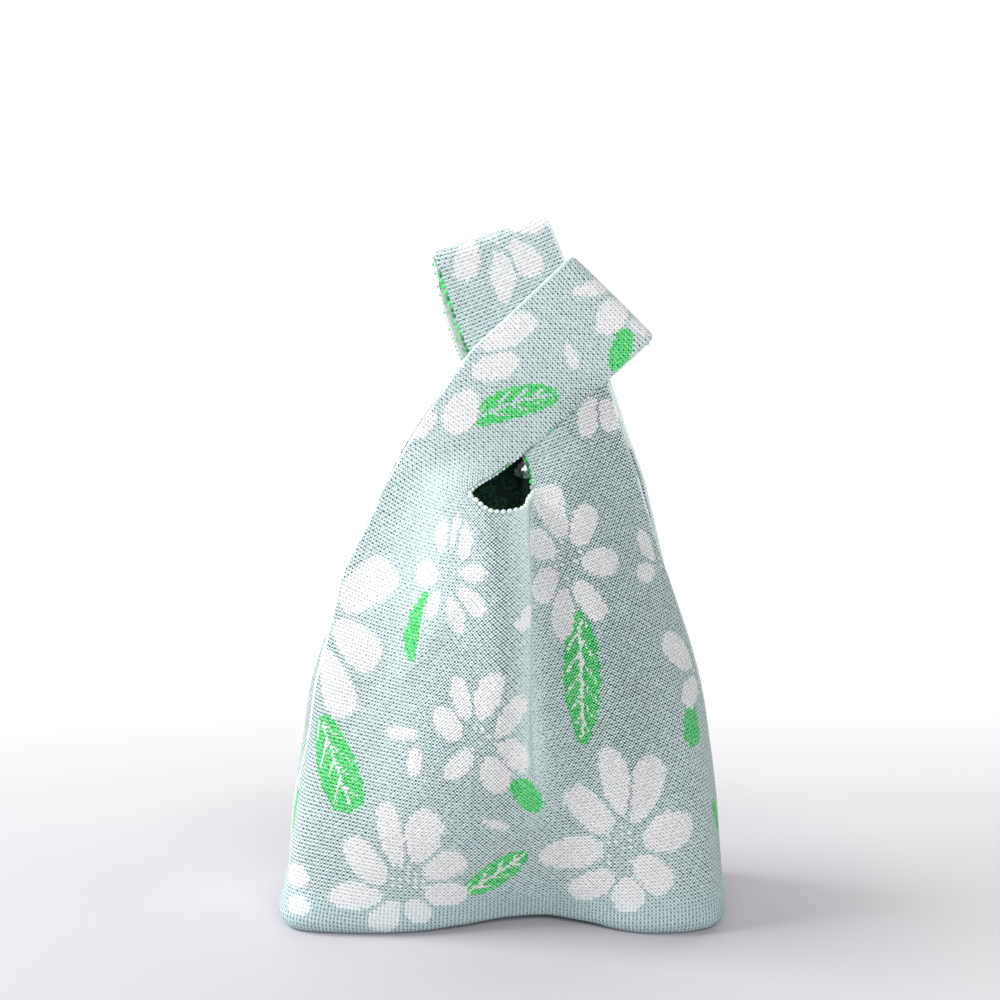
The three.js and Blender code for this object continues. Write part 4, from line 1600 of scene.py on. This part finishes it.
@dataclass
class EdgeLoops:
    """The small loops of yarn, side by side, that finish the edge of the neck and of the straps.

    Attributes:
        pitch: distance between loops at the neck.
        size: half of a loop's length along the edge, across it and through the cloth.
        small: size of the loops along the straps, against those of the neck.
        inner: their size along the front edge of the strap that goes through the other one.
        proud: how far the loops stand out over the edge.
        margin: how far from the straps' tops the loops stop.
        grain: steps in which the distances between the loops are summed up.
        turn: length over which the straps' loops turn into those of the neck.
        plain: distances before the neck between which few loops of the first strap are green.
        plain_tint: what the tints are there, against elsewhere.
        strap_tint: the lowest tint along the strap that goes through the other one.
        back_tint: what the tints are at the back, against the front.
    """

    cloth: Cloth
    pitch: float = 3.3
    size: Triple = (1.6, 1.35, 1.5)
    small: float = 0.68
    inner: float = 0.92
    proud: float = 0.75
    margin: float = 5.0
    grain: float = 0.1
    turn: float = 6.0
    plain: Pair = (75.0, 45.0)
    plain_tint: float = 0.5
    strap_tint: float = 0.62
    back_tint: float = 0.85
    points: Array = field(init=False)
    faces: Array = field(init=False)
    tint: Array = field(init=False)

    @staticmethod
    def bead() -> tuple[Array, Array]:
        """Points and faces of a round bead: a cube, each side cut in four, blown up to a ball."""
        places = np.stack(np.meshgrid(*[(-1.0, 0.0, 1.0)] * 3, indexing="ij"), -1).reshape(-1, 3)
        numbers = np.arange(len(places)).reshape(3, 3, 3)
        middle = numbers[1, 1, 1]
        faces = []
        for axis in range(3):
            for end in (0, 2):
                side = np.take(numbers, end, axis)
                quads = np.stack([side[:-1, :-1], side[1:, :-1], side[1:, 1:], side[:-1, 1:]], -1)
                faces.append(quads.reshape(-1, 4)[:, ::-1 if (end == 0) != (axis == 1) else 1])
        quads = np.concatenate(faces)
        return unit(np.delete(places, middle, 0)), quads - (quads > middle)

    @staticmethod
    def chances(count: int) -> Array:
        """Numbers that look random, from 0 to 1: the fractions of a large multiple of a sine wave."""
        return np.modf(np.abs(np.sin((np.arange(count) + 1) * 12.9898)) * 43758.5453)[0]

    def build(self) -> "EdgeLoops":
        """Strings beads along the edge, each turned along it, and gives each its tint."""
        cloth, shape = self.cloth, self.cloth.shape
        strap, other = shape.free_lines[1][::-1], shape.free_lines[2]
        line = np.concatenate([strap, shape.neck_line[1:-1], other])
        places = cloth.middle[line]
        length = run_length(places)
        first, last = length[len(strap) - 1], length[-len(other)]
        fine = np.arange(self.margin, length[-1] - self.margin, self.grain)
        lip = smooth(first - self.turn, first, fine) * (1 - smooth(last, last + self.turn, fine))
        scale = np.full_like(fine, self.small)
        if shape.side is Side.FRONT:
            past = smooth(last, last + self.turn, fine)
            scale = scale + (1 - scale) * lip + (self.inner - scale) * past
        number = np.cumsum(self.grain / (self.pitch * scale))
        where = np.interp(np.arange(1, int(number[-1])), number, fine)
        lip, scale = np.interp(where, fine, lip), np.interp(where, fine, scale)

        def along(values: Array) -> Array:
            """Values of the edge's points at the beads."""
            return np.stack([np.interp(where, length, column) for column in values.T], 1)

        forward = unit(along(np.gradient(places, axis=0)))
        out = along(cloth.out[line])
        out = unit(out - (out * forward).sum(1, keepdims=True) * forward)
        ways = np.stack([forward, out, np.cross(forward, out)], 1) * np.array(self.size)[:, None]
        middle = along(places) + out * self.proud * scale[:, None]
        ball, quads = self.bead()
        self.points = (middle[:, None] + ball @ ways * scale[:, None, None]).reshape(-1, 3)
        self.faces = (quads + np.arange(len(where))[:, None, None] * len(ball)).reshape(-1, 4)
        tint = self.chances(len(where))
        if shape.side is Side.FRONT:
            green = smooth(first - self.plain[0], first - self.plain[1], where)
            plain = tint * (self.plain_tint + (1 - self.plain_tint) * green)
            light = self.strap_tint + (1 - self.strap_tint) * tint
            tint = np.where(where < first, plain, light) * (1 - lip)
        else:
            tint = tint * self.back_tint
        self.tint = np.repeat(tint, len(ball))
        return self

    def dress(self, finish: bpy.types.Material) -> bpy.types.Object:
        """Makes the object, with each loop's tint."""
        name = self.cloth.name.replace("cloth", "edge_loops")
        made = make_object(name, self.points, self.faces, self.cloth.shape.weave.centre)
        keep(made.data, "tint", self.tint)
        made.data.materials.append(finish)
        return made


# ---- Floor, light and camera -----------------------------------------------------------------------


@dataclass(frozen=True)
class Lamp:
    """A square soft light: its place and size in metres, and its power in watts."""

    name: str
    place: Triple
    size: float
    power: float


@dataclass(frozen=True)
class Studio:
    """A pale floor that sweeps up behind, soft lights and the camera at the photograph's angle.

    Attributes:
        ambient: strength of the surroundings.
        aim: where all lamps point, in metres.
        floor_depth: where the floor starts and where it turns up.
        floor_radius: radius of that turn.
        floor_top: its height behind, and how far it reaches to either side.
        near_colour: the floor's colour round the bag.
        near: distances from the bag, in metres, between which it turns into the other one.
        glow: share of the floor's light that is its own, away from the bag.
        glow_strength: how bright that light is.
        glow_run: distances behind the bag, in metres, between which it becomes all there is.
        focal: the camera's focal length, against the width of the picture.
        pitch: how far it looks down, in degrees.
        place: where it stands.
        centre: what the panels' frame is moved by.
    """

    ambient: float = 0.03
    lamps: Sequence[Lamp] = (
        Lamp("key", (-1.56, 0.0, 1.07), 1.0, 53.0), Lamp("fill", (0.67, -1.44, 1.01), 1.0, 19.0),
        Lamp("front", (-0.32, -1.53, 1.07), 1.0, 9.0), Lamp("rim", (1.15, 1.15, 0.93), 1.0, 6.0),
    )
    aim: Triple = (0.0, 0.0, 0.17)
    floor_depth: Pair = (-2500.0, 1300.0)
    floor_radius: float = 900.0
    floor_top: float = 4000.0
    floor_colour: Colour = (0.385, 0.376, 0.408, 1.0)
    near_colour: Colour = (0.51, 0.498, 0.532, 1.0)
    near: Pair = (0.115, 0.27)
    glow: float = 0.4
    glow_strength: float = 1.1
    glow_run: Pair = (0.0, 0.55)
    focal: float = 1.56
    pitch: float = 8.2
    place: Triple = (0.0, -795.0, 330.0)
    centre: Pair = Weave().centre

    def floor(self) -> None:
        """A sheet that lies flat and turns up in a wide quarter circle behind the bag."""
        turn = np.radians(np.linspace(0, 90, 25))
        y = self.floor_depth[1] + self.floor_radius * np.sin(turn)
        z = self.floor_radius * (1 - np.cos(turn))
        y = np.array([self.floor_depth[0], *y, y[-1]])
        z = np.array([0.0, *z, self.floor_top])
        sides = [np.stack([np.full_like(y, x), y, z], 1) for x in (-self.floor_top, self.floor_top)]
        low = np.arange(len(y) - 1) * 2
        faces = np.stack([low, low + 1, low + 3, low + 2], 1)
        made = make_object("floor", np.stack(sides, 1).reshape(-1, 3), faces, self.centre)
        made.data.materials.append(self.floor_finish())

    def floor_finish(self) -> bpy.types.Material:
        """A matt surface, mixed with light of its own away from the bag."""
        g = Graph("pale_floor")
        across, depth, _ = g.parts(g.place())
        away = ((across * across + depth * depth) ** 0.5).ramp(*self.near)
        far = depth.ramp(*self.glow_run) * (1.0 - self.glow) + away * self.glow
        colour = g.mix(away, self.near_colour, self.floor_colour)
        matt = g.shader({"Base Color": colour, "Roughness": 0.55, "Specular IOR Level": 0.3})
        light = {"Color": PLAIN, "Strength": self.glow_strength}
        glow = g.node("ShaderNodeEmission", {}, light, "Emission")
        return g.close(g.node("ShaderNodeMixShader", {}, {0: far, 1: matt, 2: glow}, "Shader"))

    def lights(self) -> None:
        """A soft key from the left, weaker lamps in front and behind, and faint surroundings."""
        scene = bpy.context.scene
        scene.view_settings.view_transform = "Standard"
        scene.world = bpy.data.worlds.new("studio")
        scene.world.use_nodes = True
        background = scene.world.node_tree.nodes["Background"]
        background.inputs["Color"].default_value = PLAIN
        background.inputs["Strength"].default_value = self.ambient
        for lamp in self.lamps:
            light = bpy.data.lights.new(lamp.name, "AREA")
            light.size = lamp.size
            light.energy = lamp.power
            made = bpy.data.objects.new(lamp.name, light)
            scene.collection.objects.link(made)
            made.location = lamp.place
            x, y, z = np.array(self.aim) - np.array(lamp.place)
            made.rotation_euler = (math.atan2(math.hypot(x, y), -z), 0, math.atan2(-x, y))

    def camera(self) -> None:
        """The camera, level in roll and a little above the bag."""
        data = bpy.data.cameras.new("camera")
        data.lens = self.focal * data.sensor_width
        data.clip_end = 50
        made = bpy.data.objects.new("camera", data)
        bpy.context.scene.collection.objects.link(made)
        made.location = (np.array(self.place) - (*self.centre, 0)) * MM
        made.rotation_euler = (math.radians(90 - self.pitch), 0, 0)
        bpy.context.scene.camera = made

    def build(self) -> None:
        """Sets up everything."""
        self.floor()
        self.lights()
        self.camera()


def main() -> None:
    """Builds the bag, its surroundings and the size note."""
    logging.basicConfig(level=logging.INFO, format="%(message)s")
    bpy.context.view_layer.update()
    knit = KnitFinish().build()
    front = PanelShape(Side.FRONT, FRONT_STATIONS, LEFT_FRONT_STRAP, RIGHT_FRONT_STRAP,
                       ("neckLeft", "neckRight"))
    back = PanelShape(Side.BACK, BACK_STATIONS, RIGHT_BACK_STRAP, LEFT_BACK_STRAP,
                      ("backNeckRight", "backNeckLeft"))
    panels = (Cloth("front_cloth", front.build(), FRONT_MOTIF, FRONT_FOLDS),
              Cloth("back_cloth", back.build(), BACK_MOTIF, BACK_FOLDS))
    yarn = LoopFinish().build()
    for cloth, node in zip(panels, ("front_panel", "back_panel")):
        piece = cloth.build().dress(knit)
        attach(piece, "root")
        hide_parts(node)
        trim = EdgeLoops(cloth).build().dress(yarn)
        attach(trim, "root")
        log.info("%s: %d points, flat %s to %s", cloth.name, len(cloth.points),
                 cloth.flat.min(0).round(1), cloth.flat.max(0).round(1))
    Studio().build()


if __name__ == "__main__":
    main()
